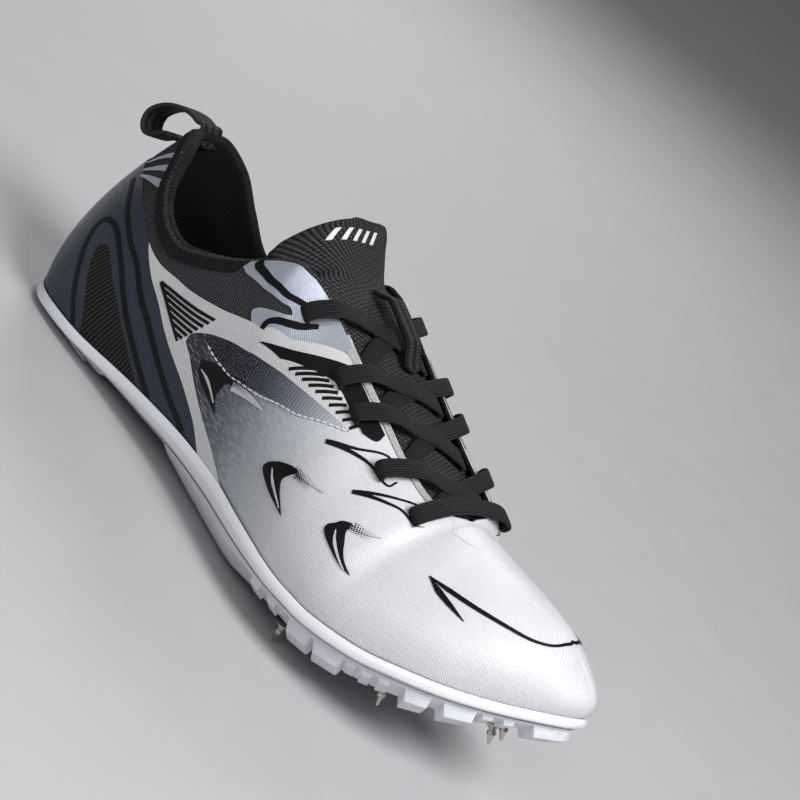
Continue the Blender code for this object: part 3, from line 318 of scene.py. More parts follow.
def ribs(turn):
    """The four Bezier points of the ribs at some turns."""
    angle, side = unwrap(turn)
    plan = inset_point(angle, side, crease_inset(angle))
    foot = np.concatenate([plan, crease_height(plan[..., 0])[..., None]], -1)
    along = (1.0 - np.cos(angle)) / 2.0
    gap = np.maximum(top_curves["gap"](angle), 0.0) * HEEL_WIDTH
    back = COLLAR_HEIGHT + (INSTEP_HEIGHT - COLLAR_HEIGHT) * ease(*INSTEP_SPAN, along)
    fall = np.clip((along - VAMP_SPAN[0]) / (VAMP_SPAN[1] - VAMP_SPAN[0]), 0.0, 1.0)
    height = top_curves["height"](angle) * (back + (VAMP_HEIGHT - back) * fall)
    tilt = np.where(side > 0, top_curves["tilt"](angle) * INSTEP_HEIGHT, 0.0)
    top = np.stack([top_curves["top"](angle) * SOLE_LENGTH,
                    top_curves["swing"](angle) * HEEL_WIDTH + side * gap, height + tilt], -1)
    outward = np.concatenate([rim_normal(angle, side), np.zeros_like(angle)[..., None]], -1) * BALL_WIDTH
    up = np.stack([np.zeros_like(angle), np.zeros_like(angle), top[..., 2] - foot[..., 2]], -1)
    low = foot + outward * rib_curves["out"](angle)[..., None] + up * rib_curves["rise"](angle)[..., None]
    high = top + outward * rib_curves["over"](angle)[..., None] - up * rib_curves["drop"](angle)[..., None]
    return foot, low, high, top


def skin(turn, share):
    """Points of the upper's outer face, on the last."""
    turn, share = np.broadcast_arrays(np.asarray(turn, float), np.asarray(share, float))
    foot, low, high, top = ribs(turn)
    t = share[..., None]
    r = 1.0 - t
    return r ** 3 * foot + 3.0 * r ** 2 * t * low + 3.0 * r * t ** 2 * high + t ** 3 * top


def skin_normal(turn, share):
    turn, share = np.broadcast_arrays(np.asarray(turn, float), np.asarray(share, float))
    onward = skin(turn + TURN_STEP, share) - skin(turn - TURN_STEP, share)
    upward = (skin(turn, np.minimum(share + SHARE_STEP, 1.0))
              - skin(turn, np.maximum(share - SHARE_STEP, 0.0)))
    normal = np.cross(onward, upward)
    length = np.linalg.norm(normal, axis=-1, keepdims=True)
    return np.where(length > TINY, normal / np.maximum(length, TINY), np.array([0.0, 0.0, 1.0]))


def fold(turn, share):
    """Shares past 1 go over the vamp's ridge and down the other side."""
    beyond = share > 1.0
    return np.where(beyond, 2 * HALF - turn, turn), np.where(beyond, 2.0 - share, share)


def over(turn, share, lift=0.0):
    """Points a distance outside the upper's outer face, on the last."""
    points = skin(turn, share)
    lift = np.asarray(lift, float)
    return points + skin_normal(turn, share) * (lift[..., None] if lift.ndim else lift)


# Way along the upper in metres from the heel's back, for patterns at real scale
CLOTH_TURNS = np.linspace(0.0, HALF, 97)
CLOTH_SHARE = 0.35
RIDGE_LEAN = 0.14
RIDGE_SWEEP = 0.9
cloth_line = skin(CLOTH_TURNS, CLOTH_SHARE)
cloth_way = np.concatenate([[0.0], np.cumsum(np.linalg.norm(np.diff(cloth_line, axis=0), axis=1))])


def cloth(turn, share):
    """Way along in metres, and a level whose lines fall to the toe and sweep in over the vamp."""
    turn = np.mod(np.asarray(turn, float), 2 * HALF)
    points = skin(turn, share)
    way = np.interp(np.where(turn <= HALF, turn, 2 * HALF - turn), CLOTH_TURNS, cloth_way)
    level = points[..., 2] + RIDGE_LEAN * points[..., 0] - RIDGE_SWEEP * np.abs(points[..., 1])
    return way, level


# Modelling by hand: grids laid over a form, cut patterns, flat bands and turned pieces

MERGE = 0.000005           # doubles closer than this are one point
FILM_SHARP = 50.0


def start_alone(piece=None):
    """Deselects everything but that piece, so that an operator acts on it or on a new piece only."""
    bpy.ops.object.select_all(action="DESELECT")
    if piece:
        piece.select_set(True)
        bpy.context.view_layer.objects.active = piece


def read_points(piece):
    flat = np.zeros(len(piece.data.vertices) * 3)
    piece.data.vertices.foreach_get("co", flat)
    return flat.reshape(-1, 3)


def set_points(piece, points):
    piece.data.vertices.foreach_set("co", np.asarray(points, float).ravel())
    piece.data.update()


def set_cloth(piece, *lengths):
    """Writes the piece's UV map, in metres over its surface, from two lists of lengths."""
    data = piece.data
    corners = np.zeros(len(data.loops), int)
    data.loops.foreach_get("vertex_index", corners)
    values = np.stack(np.broadcast_arrays(*lengths), -1)[corners]
    data.uv_layers.new(name="cloth").data.foreach_set("uv", values.ravel())


def close_up(piece, finish, sharp=None):
    """Merges doubles, turns all faces one way, shades the piece and gives it its finish."""
    start_alone(piece)
    bpy.ops.object.mode_set(mode="EDIT")
    bpy.ops.mesh.select_all(action="SELECT")
    bpy.ops.mesh.remove_doubles(threshold=MERGE)
    bpy.ops.mesh.normals_make_consistent(inside=False)
    bpy.ops.object.mode_set(mode="OBJECT")
    if sharp:
        bpy.ops.object.shade_smooth_by_angle(angle=math.radians(sharp))
    else:
        bpy.ops.object.shade_smooth()
    piece.data.materials.append(finish)
    return piece


def lay(name, columns, rows, shape, lengths, finish, sharp=None, leave_out=None):
    """A grid primitive laid over a form. shape gives points, and lengths the UVs, from shares (u, v)."""
    start_alone()
    bpy.ops.mesh.primitive_grid_add(x_subdivisions=columns, y_subdivisions=rows, size=1.0, calc_uvs=False)
    piece = bpy.context.object
    piece.name = piece.data.name = name
    if leave_out:
        bpy.ops.object.mode_set(mode="EDIT")
        bpy.ops.mesh.select_all(action="DESELECT")
        bpy.ops.object.mode_set(mode="OBJECT")
        for face in piece.data.polygons:
            face.select = leave_out(face.center.x + 0.5, face.center.y + 0.5)
        bpy.ops.object.mode_set(mode="EDIT")
        bpy.ops.mesh.select_mode(type="FACE")
        bpy.ops.mesh.delete(type="FACE")
        bpy.ops.mesh.select_mode(type="VERT")
        bpy.ops.object.mode_set(mode="OBJECT")
    flat = read_points(piece) + 0.5
    u, v = flat[:, 0], flat[:, 1]
    set_cloth(piece, *lengths(u, v))
    set_points(piece, shape(u, v))
    return close_up(piece, finish, sharp)


def join(name, pieces):
    """Joins pieces into the first one."""
    start_alone(pieces[0])
    for piece in pieces:
        piece.select_set(True)
    if len(pieces) > 1:
        bpy.ops.object.join()
    pieces[0].name = pieces[0].data.name = name
    return pieces[0]


def seat(piece, slot, *nodes):
    """Rides the piece on the shoe and hides the CAD nodes it stands for. slot is not used."""
    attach(piece, "root")
    if nodes:
        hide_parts(*nodes)
    return piece


def way_along(points):
    """Length along a line of points, from its start to each of them."""
    return np.concatenate([[0.0], np.cumsum(np.linalg.norm(np.diff(points, axis=0), axis=1))])


def smooth_line(points, count):
    """Points along a smooth curve through the given ones, at even steps from one to the next."""
    points = np.asarray(points, float)
    ends = np.concatenate([2 * points[:1] - points[1:2], points, 2 * points[-1:] - points[-2:-1]])
    step = np.linspace(0.0, len(points) - 1.0, count)
    k = np.minimum(step.astype(int), len(points) - 2)
    t = (step - k).reshape(-1, *[1] * (points.ndim - 1))
    a, b, c, d = ends[k], ends[k + 1], ends[k + 2], ends[k + 3]
    return 0.5 * (2 * b + (c - a) * t + (2 * a - 5 * b + 4 * c - d) * t ** 2
                  + (3 * b - a - 3 * c + d) * t ** 3)


def outline_of(*runs):
    """An outline in turns and shares: each run is smooth, and runs meet at corners."""
    points = []
    for run in runs:
        steps = 1 if len(run) == 2 else 6
        points += list(smooth_line(run, steps * (len(run) - 1) + 1))
    kept = [point for k, point in enumerate(points) if np.abs(point - points[k - 1]).max() > NUDGE]
    return np.array(kept)


def line_of(path, widths, steps=6):
    """The outline of a drawn line with a width in metres at each point of its path."""
    path = smooth_line(path, steps * (len(path) - 1) + 1)
    width = np.interp(np.linspace(0, 1, len(path)), np.linspace(0, 1, len(widths)), widths)
    turn_scale, share_scale = cloth_scale(*fold(path[:, 0], path[:, 1]))
    scale = np.stack([turn_scale, share_scale], -1)
    tangent = np.gradient(path, axis=0) * scale
    tangent /= np.linalg.norm(tangent, axis=1, keepdims=True)
    aside = np.stack([-tangent[:, 1], tangent[:, 0]], -1) * width[:, None] / 2 / scale
    return np.concatenate([path + aside, (path - aside)[::-1]])


SCALE_TURN = 0.1


def cloth_scale(turn, share):
    """Metres over the upper for one turn and for one share."""
    ahead = np.linalg.norm(skin(turn + SCALE_TURN, share) - skin(turn - SCALE_TURN, share), axis=-1)
    ahead = ahead / (2 * SCALE_TURN)
    low = np.clip(share - SHARE_STEP, 0.0, 1.0 - 2 * SHARE_STEP)
    high = np.clip(share + SHARE_STEP, 2 * SHARE_STEP, 1.0)
    rise = np.linalg.norm(skin(turn, high) - skin(turn, low), axis=-1) / (high - low)
    return ahead, rise


TURN_CUT = 0.32            # a pattern is cut across this many turns apart
SHARE_CUT = 0.045          # and this share apart
PATTERN_SCALE = 0.02       # pattern length of one turn
PATTERN_MERGE = 1e-5


def cut_pattern(name, outline):
    """A flat pattern piece with that outline, cut along and across so that it can bend over the last."""
    area = np.sum(outline[:, 0] * np.roll(outline[:, 1], -1) - np.roll(outline[:, 0], -1) * outline[:, 1])
    if area < 0.0:
        outline = outline[::-1]
    start_alone()
    bpy.ops.mesh.primitive_circle_add(vertices=len(outline), radius=1.0, fill_type="NGON", calc_uvs=False)
    piece = bpy.context.object
    piece.name = name
    set_points(piece, np.column_stack([outline[:, 0] * PATTERN_SCALE, outline[:, 1], np.zeros(len(outline))]))
    bpy.ops.object.mode_set(mode="EDIT")
    bpy.ops.mesh.select_all(action="SELECT")
    bpy.ops.mesh.quads_convert_to_tris(ngon_method="BEAUTY")
    for axis, step, scale in ((0, TURN_CUT, PATTERN_SCALE), (1, SHARE_CUT, 1.0)):
        first, last = outline[:, axis].min(), outline[:, axis].max()
        for k in range(int(first / step) - 1, int(last / step) + 2):
            if first + step / 8 < k * step < last - step / 8:
                place = [0.0, 0.0, 0.0]
                place[axis] = k * step * scale
                bpy.ops.mesh.select_all(action="SELECT")
                bpy.ops.mesh.bisect(plane_co=place, plane_no=(axis == 0, axis == 1, 0.0))
    bpy.ops.mesh.select_all(action="SELECT")
    bpy.ops.mesh.remove_doubles(threshold=PATTERN_MERGE)
    bpy.ops.object.mode_set(mode="OBJECT")
    return piece


FILM_LIFT = 0.00010        # one film lies this far over the one below
FILM_WALL = 0.00022
TOE_FILM_WALL = 0.00006
PATCH_WALL = 0.00005
BINDING_WALL = 0.0006


def paint_tone(piece, place):
    """Gives each point the upper's own colour at that turn."""
    place = np.clip(place, TONE_TURNS[0], TONE_TURNS[-1])
    colour = np.ones((len(place), 4))
    for axis in range(3):
        colour[:, axis] = Curve(TONE_TURNS, [tone[axis] for tone in TONES])(place)
    piece.data.color_attributes.new("tone", "FLOAT_COLOR", "POINT").data.foreach_set("color", colour.ravel())


def film(name, outlines, finish, slot, layer=1, wall=FILM_WALL, both=True, nodes=(), toned=0.0):
    """Thin films cut to outlines and pressed on the upper's outer side and, with both, on its inner one."""
    pieces = []
    for outline in outlines:
        flat_piece = cut_pattern(name, outline)
        copies = [(flat_piece, 1.0)]
        if both:
            bpy.ops.object.duplicate()
            copies.append((bpy.context.object, -1.0))
        for piece, way in copies:
            flat = read_points(piece)
            turn, share = fold(flat[:, 0] / PATTERN_SCALE * way, np.maximum(flat[:, 1], 0.0))
            set_cloth(piece, *cloth(turn, share))
            if toned:
                paint_tone(piece, np.abs(turn) - toned)
            set_points(piece, stand(over(turn, share, FILM_LIFT * layer)))
            start_alone(piece)
            if way < 0.0:
                bpy.ops.object.mode_set(mode="EDIT")
                bpy.ops.mesh.select_all(action="SELECT")
                bpy.ops.mesh.flip_normals()
                bpy.ops.object.mode_set(mode="OBJECT")
            thicken = piece.modifiers.new("wall", "SOLIDIFY")
            thicken.thickness = wall
            thicken.offset = 1.0
            bpy.ops.object.modifier_apply(modifier="wall")
            bpy.ops.object.shade_smooth_by_angle(angle=math.radians(FILM_SHARP))
            pieces.append(piece)
    whole = join(name, pieces)
    whole.data.materials.append(finish)
    return seat(whole, slot, *nodes)


def section(around, half_width, half_height, roundness):
    """Points of a flat closed section with rounded sides, at shares around it."""
    angle = 2.0 * math.pi * around
    wide, high = np.cos(angle), np.sin(angle)
    return (half_width * np.sign(wide) * np.abs(wide) ** roundness,
            half_height * np.sign(high) * np.abs(high) ** roundness)


def band(name, line, wide, width, thickness, finish, columns=60, rows=16, roundness=0.55):
    """A flat band along a line, with wide the way of its width, and closed round ends."""
    centre = smooth_line(line, columns + 1)
    broad = np.tile(np.asarray(wide, float), (columns + 1, 1))
    tangent = np.gradient(centre, axis=0)
    tangent /= np.linalg.norm(tangent, axis=1, keepdims=True)
    broad = broad - tangent * np.sum(broad * tangent, axis=1, keepdims=True)
    broad /= np.linalg.norm(broad, axis=1, keepdims=True)
    up = np.cross(tangent, broad)
    steps = way_along(centre)
    to_end = np.minimum(steps, steps[-1] - steps)
    close = np.sqrt(np.clip(to_end / thickness, 0.0, 1.0))

    def shape(u, v):
        k = np.rint(u * columns).astype(int)
        half_width, half_height = section(v, width / 2, thickness / 2, roundness)
        return (centre[k] + broad[k] * (half_width * close[k])[:, None]
                + up[k] * (half_height * close[k])[:, None])

    def lengths(u, v):
        k = np.rint(u * columns).astype(int)
        return section(v, width / 2, thickness / 2, roundness)[0], steps[k]

    return lay(name, columns, rows, shape, lengths, finish)


def turned(name, profile, segments, root, turn, finish, sharp=30.0):
    """A turned piece: profile is (radius, depth) rows below its root, and turn tilts its axis."""
    profile = np.array([(0.0, profile[0][1]), *profile, (0.0, profile[-1][1])])
    tilt = np.array(turn.to_matrix())

    def shape(u, v):
        k = np.rint(v * (len(profile) - 1)).astype(int)
        angle = 2.0 * math.pi * u
        local = np.stack([np.cos(angle) * profile[k, 0], np.sin(angle) * profile[k, 0], -profile[k, 1]], -1)
        return np.asarray(root) + local @ tilt.T

    return lay(name, segments, len(profile) - 1, shape, lambda u, v: (u, v), finish, sharp)


# Shader groups and finishes

class Tree:
    """Adds nodes to a material or a node group, with values or sockets as their inputs."""

    def __init__(self, tree):
        self.tree = tree

    def add(self, kind, *values, **settings):
        node = self.tree.nodes.new(kind)
        for key, value in settings.items():
            setattr(node, key, value)
        for k, value in enumerate(values):
            if value is not None:
                self.plug(value, node.inputs[k])
        return node

    def plug(self, value, socket):
        if isinstance(value, bpy.types.NodeSocket):
            self.tree.links.new(value, socket)
        else:
            socket.default_value = value

    def math(self, operation, *values):
        return self.add("ShaderNodeMath", *values, operation=operation).outputs[0]

    def mix(self, share, first, second):
        node = self.add("ShaderNodeMix", data_type="RGBA")
        for socket, value in ((0, share), (6, first), (7, second)):
            self.plug(value, node.inputs[socket])
        return node.outputs[2]

    def group(self, group, **values):
        node = self.add("ShaderNodeGroup", node_tree=group)
        for key, value in values.items():
            self.plug(value, node.inputs[key.replace("_", " ").capitalize()])
        return node


def new_group(name, inputs, outputs):
    """An empty shader node group with named float inputs and outputs."""
    group = bpy.data.node_groups.new(name, "ShaderNodeTree")
    for label, value in inputs.items():
        group.interface.new_socket(label, in_out="INPUT", socket_type="NodeSocketFloat").default_value = value
    for label in outputs:
        group.interface.new_socket(label, in_out="OUTPUT", socket_type="NodeSocketFloat")
    tree = Tree(group)
    return group, tree, tree.add("NodeGroupInput").outputs, tree.add("NodeGroupOutput").inputs


def ridge_group():
    """Fine broken ridges along a film, as its mesh backing prints through."""
    group, tree, given, out = new_group("film_ridges", {"Pitch": 0.0012, "Lean": 0.1},
                                        ("Height", "Dash"))
    uv = tree.add("ShaderNodeUVMap", uv_map="cloth").outputs[0]
    place = tree.add("ShaderNodeSeparateXYZ", uv).outputs
    blur = tree.add("ShaderNodeTexNoise", uv, noise_dimensions="2D")
    blur.inputs["Scale"].default_value = 90.0
    blur.inputs["Detail"].default_value = 2.0
    drift = tree.math("MULTIPLY", blur.outputs[0], 1.1)
    slanted = tree.math("MULTIPLY_ADD", place[0], given["Lean"], place[1])
    turns = tree.math("ADD", tree.math("DIVIDE", slanted, given["Pitch"]), drift)
    wave = tree.math("SINE", tree.math("MULTIPLY", turns, 2.0 * math.pi))
    line = tree.math("MULTIPLY_ADD", wave, 0.5, 0.5)
    stretched = tree.add("ShaderNodeMapping", uv)
    stretched.inputs["Scale"].default_value = (220.0, 1500.0, 1.0)
    breaks = tree.add("ShaderNodeTexNoise", stretched.outputs[0], noise_dimensions="2D")
    breaks.inputs["Scale"].default_value = 1.0
    broken = tree.math("MULTIPLY", line, tree.math("SMOOTH_MIN", breaks.outputs[0], 1.0, 0.1))
    shown = tree.math("GREATER_THAN", breaks.outputs[0], 0.54)
    dash = tree.math("MULTIPLY", shown, tree.math("POWER", line, 3.0))
    tree.plug(dash, out["Dash"])
    tree.plug(broken, out["Height"])
    return group


def knit_group():
    """Knit: ribs along the piece with a row of stitches across them, and spots on the rib tops for painted
    highlights.
    """
    group, tree, given, out = new_group("knit", {"Rib": 0.0011, "Stitch": 0.0008, "Lean": 0.0},
                                        ("Height", "Glint"))
    uv = tree.add("ShaderNodeUVMap", uv_map="cloth").outputs[0]
    place = tree.add("ShaderNodeSeparateXYZ", uv).outputs
    across = tree.math("DIVIDE", tree.math("MULTIPLY_ADD", place[1], given["Lean"], place[0]), given["Rib"])
    along = tree.math("DIVIDE", place[1], given["Stitch"])
    rib = tree.math("ABSOLUTE", tree.math("SINE", tree.math("MULTIPLY", across, math.pi)))
    shifted = tree.math("ADD", along, tree.math("MULTIPLY", tree.math("FLOOR", across), 0.5))
    stitch = tree.math("ABSOLUTE", tree.math("SINE", tree.math("MULTIPLY", shifted, math.pi)))
    height = tree.math("MULTIPLY", rib, tree.math("MULTIPLY_ADD", stitch, 0.6, 0.4))
    glint = tree.add("ShaderNodeTexNoise", uv, noise_dimensions="2D")
    glint.inputs["Scale"].default_value = 1400.0
    # Painted highlights: pale glints where the noise meets a raised rib top
    glint_spots = tree.math("GREATER_THAN", tree.math("MULTIPLY", glint.outputs[0], height), 0.40)
    tree.plug(height, out["Height"])
    tree.plug(glint_spots, out["Glint"])
    return group


def braid_group():
    """Flat braid: cords that run along it, each of slanted yarns."""
    group, tree, given, out = new_group("braid", {"Cord": 0.0011, "Yarn": 0.0008, "Slope": 0.7}, ("Height",))
    uv = tree.add("ShaderNodeUVMap", uv_map="cloth").outputs[0]
    place = tree.add("ShaderNodeSeparateXYZ", uv).outputs
    across = tree.math("DIVIDE", place[0], given["Cord"])
    cord = tree.math("ABSOLUTE", tree.math("SINE", tree.math("MULTIPLY", across, math.pi)))
    slant = tree.math("MULTIPLY", tree.math("PINGPONG", across, 1.0), given["Slope"])
    yarns = tree.math("ADD", tree.math("DIVIDE", place[1], given["Yarn"]), slant)
    yarn = tree.math("ABSOLUTE", tree.math("SINE", tree.math("MULTIPLY", yarns, math.pi)))
    tree.plug(tree.math("MULTIPLY", cord, tree.math("MULTIPLY_ADD", yarn, 0.55, 0.45)), out["Height"])
    return group


def mottle_group():
    """Faint unevenness of a moulded or dyed surface."""
    group, tree, given, out = new_group("mottle", {"Scale": 60.0}, ("Value",))
    place = tree.add("ShaderNodeTexCoord").outputs["Object"]
    cloud = tree.add("ShaderNodeTexNoise", place)
    tree.plug(given["Scale"], cloud.inputs["Scale"])
    cloud.inputs["Detail"].default_value = 4.0
    tree.plug(cloud.outputs[0], out["Value"])
    return group


RIDGES, KNIT, BRAID, MOTTLE = ridge_group(), knit_group(), braid_group(), mottle_group()


def new_finish(name, roughness, metallic=0.0, **values):
    """A material with a Principled shader whose plain sockets are set."""
    finish = bpy.data.materials.new(name)
    finish.use_nodes = True
    shader = finish.node_tree.nodes["Principled BSDF"]
    shader.inputs["Roughness"].default_value = roughness
    shader.inputs["Metallic"].default_value = metallic
    for key, value in values.items():
        shader.inputs[key.replace("_", " ").title().replace("Ior", "IOR")].default_value = value
    return finish, Tree(finish.node_tree), shader.inputs


def add_bump(tree, sockets, height, depth):
    bump = tree.add("ShaderNodeBump")
    bump.inputs["Distance"].default_value = depth
    tree.plug(height, bump.inputs["Height"])
    tree.plug(bump.outputs[0], sockets["Normal"])


CLOTH_SHINE = 0.15
DASH_COLOUR = (0.72, 0.73, 0.75, 1.0)


def film_finish(name, colour, roughness, metallic=0.0, lean=0.1, pitch=0.0012, depth=0.00012, dashes=0.0,
                **values):
    """Thin shiny film whose backing shows as fine ridges, with painted shade in their grooves. colour None
    takes the piece's tone.
    """
    finish, tree, sockets = new_finish(name, roughness, metallic, **values)
    ridges = tree.group(RIDGES, pitch=pitch, lean=lean).outputs
    base = (*colour, 1.0) if colour else tree.add("ShaderNodeAttribute", attribute_name="tone").outputs[0]
    cloud = tree.group(MOTTLE, scale=45.0).outputs[0]
    shade = tree.add("ShaderNodeMix", data_type="RGBA", blend_type="MULTIPLY")
    # Painted shade: the colour darkens into the ridges' grooves, plus a faint mottle of tone
    ridge_shade_and_mottle = tree.math("MULTIPLY_ADD", ridges["Height"], 0.30, tree.math("MULTIPLY_ADD", cloud, 0.16, 0.70))
    tree.plug(1.0, shade.inputs[0])
    if dashes:
        base = tree.mix(tree.math("MULTIPLY", ridges["Dash"], dashes), base, DASH_COLOUR)
    tree.plug(base, shade.inputs[6])
    tree.plug(tree.add("ShaderNodeCombineColor", ridge_shade_and_mottle, ridge_shade_and_mottle, ridge_shade_and_mottle).outputs[0], shade.inputs[7])
    tree.plug(shade.outputs[2], sockets["Base Color"])
    tree.plug(tree.math("MULTIPLY_ADD", cloud, 0.16, roughness - 0.08), sockets["Roughness"])
    add_bump(tree, sockets, ridges["Height"], depth)
    return finish


def knit_finish(name, dark, light, rib, stitch, depth=0.0003, roughness=0.85, lean=0.0, glints=1.0, **values):
    """Knit or mesh with painted highlights, pale glints on its raised ribs. dark None takes the piece's tone.
    """
    finish, tree, sockets = new_finish(name, roughness, specular_ior_level=CLOTH_SHINE, **values)
    knit = tree.group(KNIT, rib=rib, stitch=stitch, lean=lean).outputs
    cloud = tree.group(MOTTLE, scale=120.0).outputs[0]
    # Painted shade: with dark given, the colour darkens into the grooves between the ribs and lightens on
    # their raised tops; the tone is taken as it is.
    if dark:
        knit_colour = tree.mix(knit["Height"], (*dark, 1.0), (*[(a + b) / 2 for a, b in zip(dark, light)], 1.0))
    else:
        knit_colour = tree.add("ShaderNodeAttribute", attribute_name="tone").outputs[0]
    # Painted highlights: the glints mix the colour towards the light one
    glint = tree.math("MULTIPLY", tree.math("MULTIPLY", knit["Glint"], cloud), glints)
    tree.plug(tree.mix(glint, knit_colour, (*light, 1.0)), sockets["Base Color"])
    add_bump(tree, sockets, knit["Height"], depth)
    return finish


def braid_finish(name, dark, light, cord, yarn, slope, depth=0.0004, roughness=0.8):
    finish, tree, sockets = new_finish(name, roughness, specular_ior_level=CLOTH_SHINE)
    height = tree.group(BRAID, cord=cord, yarn=yarn, slope=slope).outputs[0]
    # Painted shade: the colour darkens into the grooves between the yarns and lightens on their raised tops
    tree.plug(tree.mix(height, (*dark, 1.0), (*light, 1.0)), sockets["Base Color"])
    add_bump(tree, sockets, height, depth)
    return finish


def moulded_finish(name, colour, tint, roughness, grain=0.00003, scale=500.0, **values):
    """Moulded rubber or plastic with a faint cloud of colour and a fine grain."""
    finish, tree, sockets = new_finish(name, roughness, **values)
    cloud = tree.group(MOTTLE, scale=38.0).outputs[0]
    tree.plug(tree.mix(cloud, (*colour, 1.0), (*tint, 1.0)), sockets["Base Color"])
    tree.plug(tree.math("MULTIPLY_ADD", cloud, 0.18, roughness - 0.09), sockets["Roughness"])
    add_bump(tree, sockets, tree.group(MOTTLE, scale=scale).outputs[0], grain)
    return finish


shell_film = film_finish("shell_film", None, 0.42, dashes=0.40, pitch=0.0010, depth=0.00009, coat_weight=0.12)
band_film = film_finish("band_film", (0.76, 0.76, 0.78), 0.36, 0.20, lean=0.45, pitch=0.0011)
heel_film = film_finish("heel_film", (0.040, 0.052, 0.078), 0.26, 0.60, lean=1.6, pitch=0.0010, depth=0.00008)
silver_film = film_finish("silver_film", (0.58, 0.64, 0.74), 0.30, 0.60, lean=1.2, pitch=0.0013,
                          depth=0.00008)
toe_film = film_finish("toe_film", (0.74, 0.75, 0.77), 0.36, depth=0.00004)
print_black = film_finish("print_black", (0.004, 0.004, 0.005), 0.48, depth=0.00006, specular_ior_level=0.2)
print_pale = film_finish("print_pale", (0.62, 0.62, 0.64), 0.45, depth=0.00006)
frayed_edge = film_finish("frayed_edge", (0.72, 0.72, 0.72), 0.70, lean=6.0, pitch=0.0009, depth=0.0003)
ankle_knit = knit_finish("ankle_knit", (0.004, 0.004, 0.005), (0.13, 0.13, 0.145), 0.0013, 0.0009, lean=0.35)
shade_mesh = knit_finish("shade_mesh", None, (0.60, 0.61, 0.64), 0.0013, 0.0010, depth=0.00012, roughness=0.5,
                         glints=0.35)
window_mesh = knit_finish("window_mesh", (0.002, 0.002, 0.003), (0.080, 0.075, 0.070), 0.0016, 0.0011,
                          depth=0.0004, lean=-0.3)
lining_knit = knit_finish("lining_knit", (0.002, 0.002, 0.003), (0.030, 0.030, 0.033), 0.0010, 0.0010)
tongue_knit = knit_finish("tongue_knit", (0.002, 0.002, 0.003), (0.085, 0.085, 0.090), 0.0016, 0.0012,
                          lean=0.6)
insole_knit = knit_finish("insole_knit", (0.010, 0.010, 0.012), (0.060, 0.060, 0.066), 0.0014, 0.0014)
lace_braid = braid_finish("lace_braid", (0.001, 0.001, 0.001), (0.030, 0.030, 0.032), 0.0009, 0.0008, 0.7,
                          depth=0.0003)
webbing_rib = braid_finish("webbing_rib", (0.001, 0.001, 0.001), (0.034, 0.034, 0.036), 0.0040, 0.0011, 0.0)
thread_white = moulded_finish("thread_white", (0.60, 0.60, 0.60), (0.70, 0.70, 0.70), 0.65)
white_rubber = moulded_finish("white_rubber", (0.70, 0.71, 0.75), (0.80, 0.81, 0.84), 0.24, coat_weight=0.35)
plate_plastic = moulded_finish("plate_plastic", (0.62, 0.63, 0.68), (0.72, 0.73, 0.77), 0.34)
clear_rubber = moulded_finish("clear_rubber", (0.45, 0.46, 0.50), (0.58, 0.59, 0.63), 0.20, coat_weight=0.5)
black_socket = moulded_finish("black_socket", (0.010, 0.010, 0.011), (0.020, 0.020, 0.022), 0.45)
pin_steel = moulded_finish("pin_steel", (0.50, 0.47, 0.42), (0.66, 0.63, 0.58), 0.26, metallic=1.0)
floor_finish = moulded_finish("floor_finish", (0.42, 0.42, 0.43), (0.45, 0.45, 0.46), 0.7)


# The upper's shell

KNIT_EDGE_SHARES = (0.00, 0.09, 0.18, 0.30, 0.42, 0.58)
KNIT_EDGE_TURNS = (22.5, 21.5, 20.4, 19.0, 17.8, 17.0)
TONE_TURNS = (16.0, 18.0, 20.0, 22.0, 24.5, 28.0)
TONES = ((0.008, 0.009, 0.014), (0.013, 0.014, 0.022), (0.028, 0.030, 0.044), (0.115, 0.125, 0.165),
         (0.42, 0.44, 0.48), (0.72, 0.73, 0.76))
COLLAR_PAD = 0.0026
COLLAR_PAD_SHARES = (0.45, 0.75)
COLLAR_PAD_TURNS = (15.0, 19.0)
EDGE_ROUNDING = 0.4        # height of the rounded top edge in walls
SHELL_COLUMNS = 288
SHELL_SHARES = np.linspace(0.0, 1.0, 37)
THROAT_CLOSING = 1.5       # turns over which the rounded edge fades out before the throat's end
LINING_DEPTH = 0.3         # faces deeper than this share of the wall are lining
EYESTAY_KNIT = (0.60, 24.5)  # knit above this share and behind this turn


def wall_depth(station, share):
    """Thickness of the upper's wall, thicker where the collar is padded."""
    behind = 1.0 - ease(*COLLAR_PAD_TURNS, station)
    return UPPER_WALL + COLLAR_PAD * ease(*COLLAR_PAD_SHARES, share) * behind


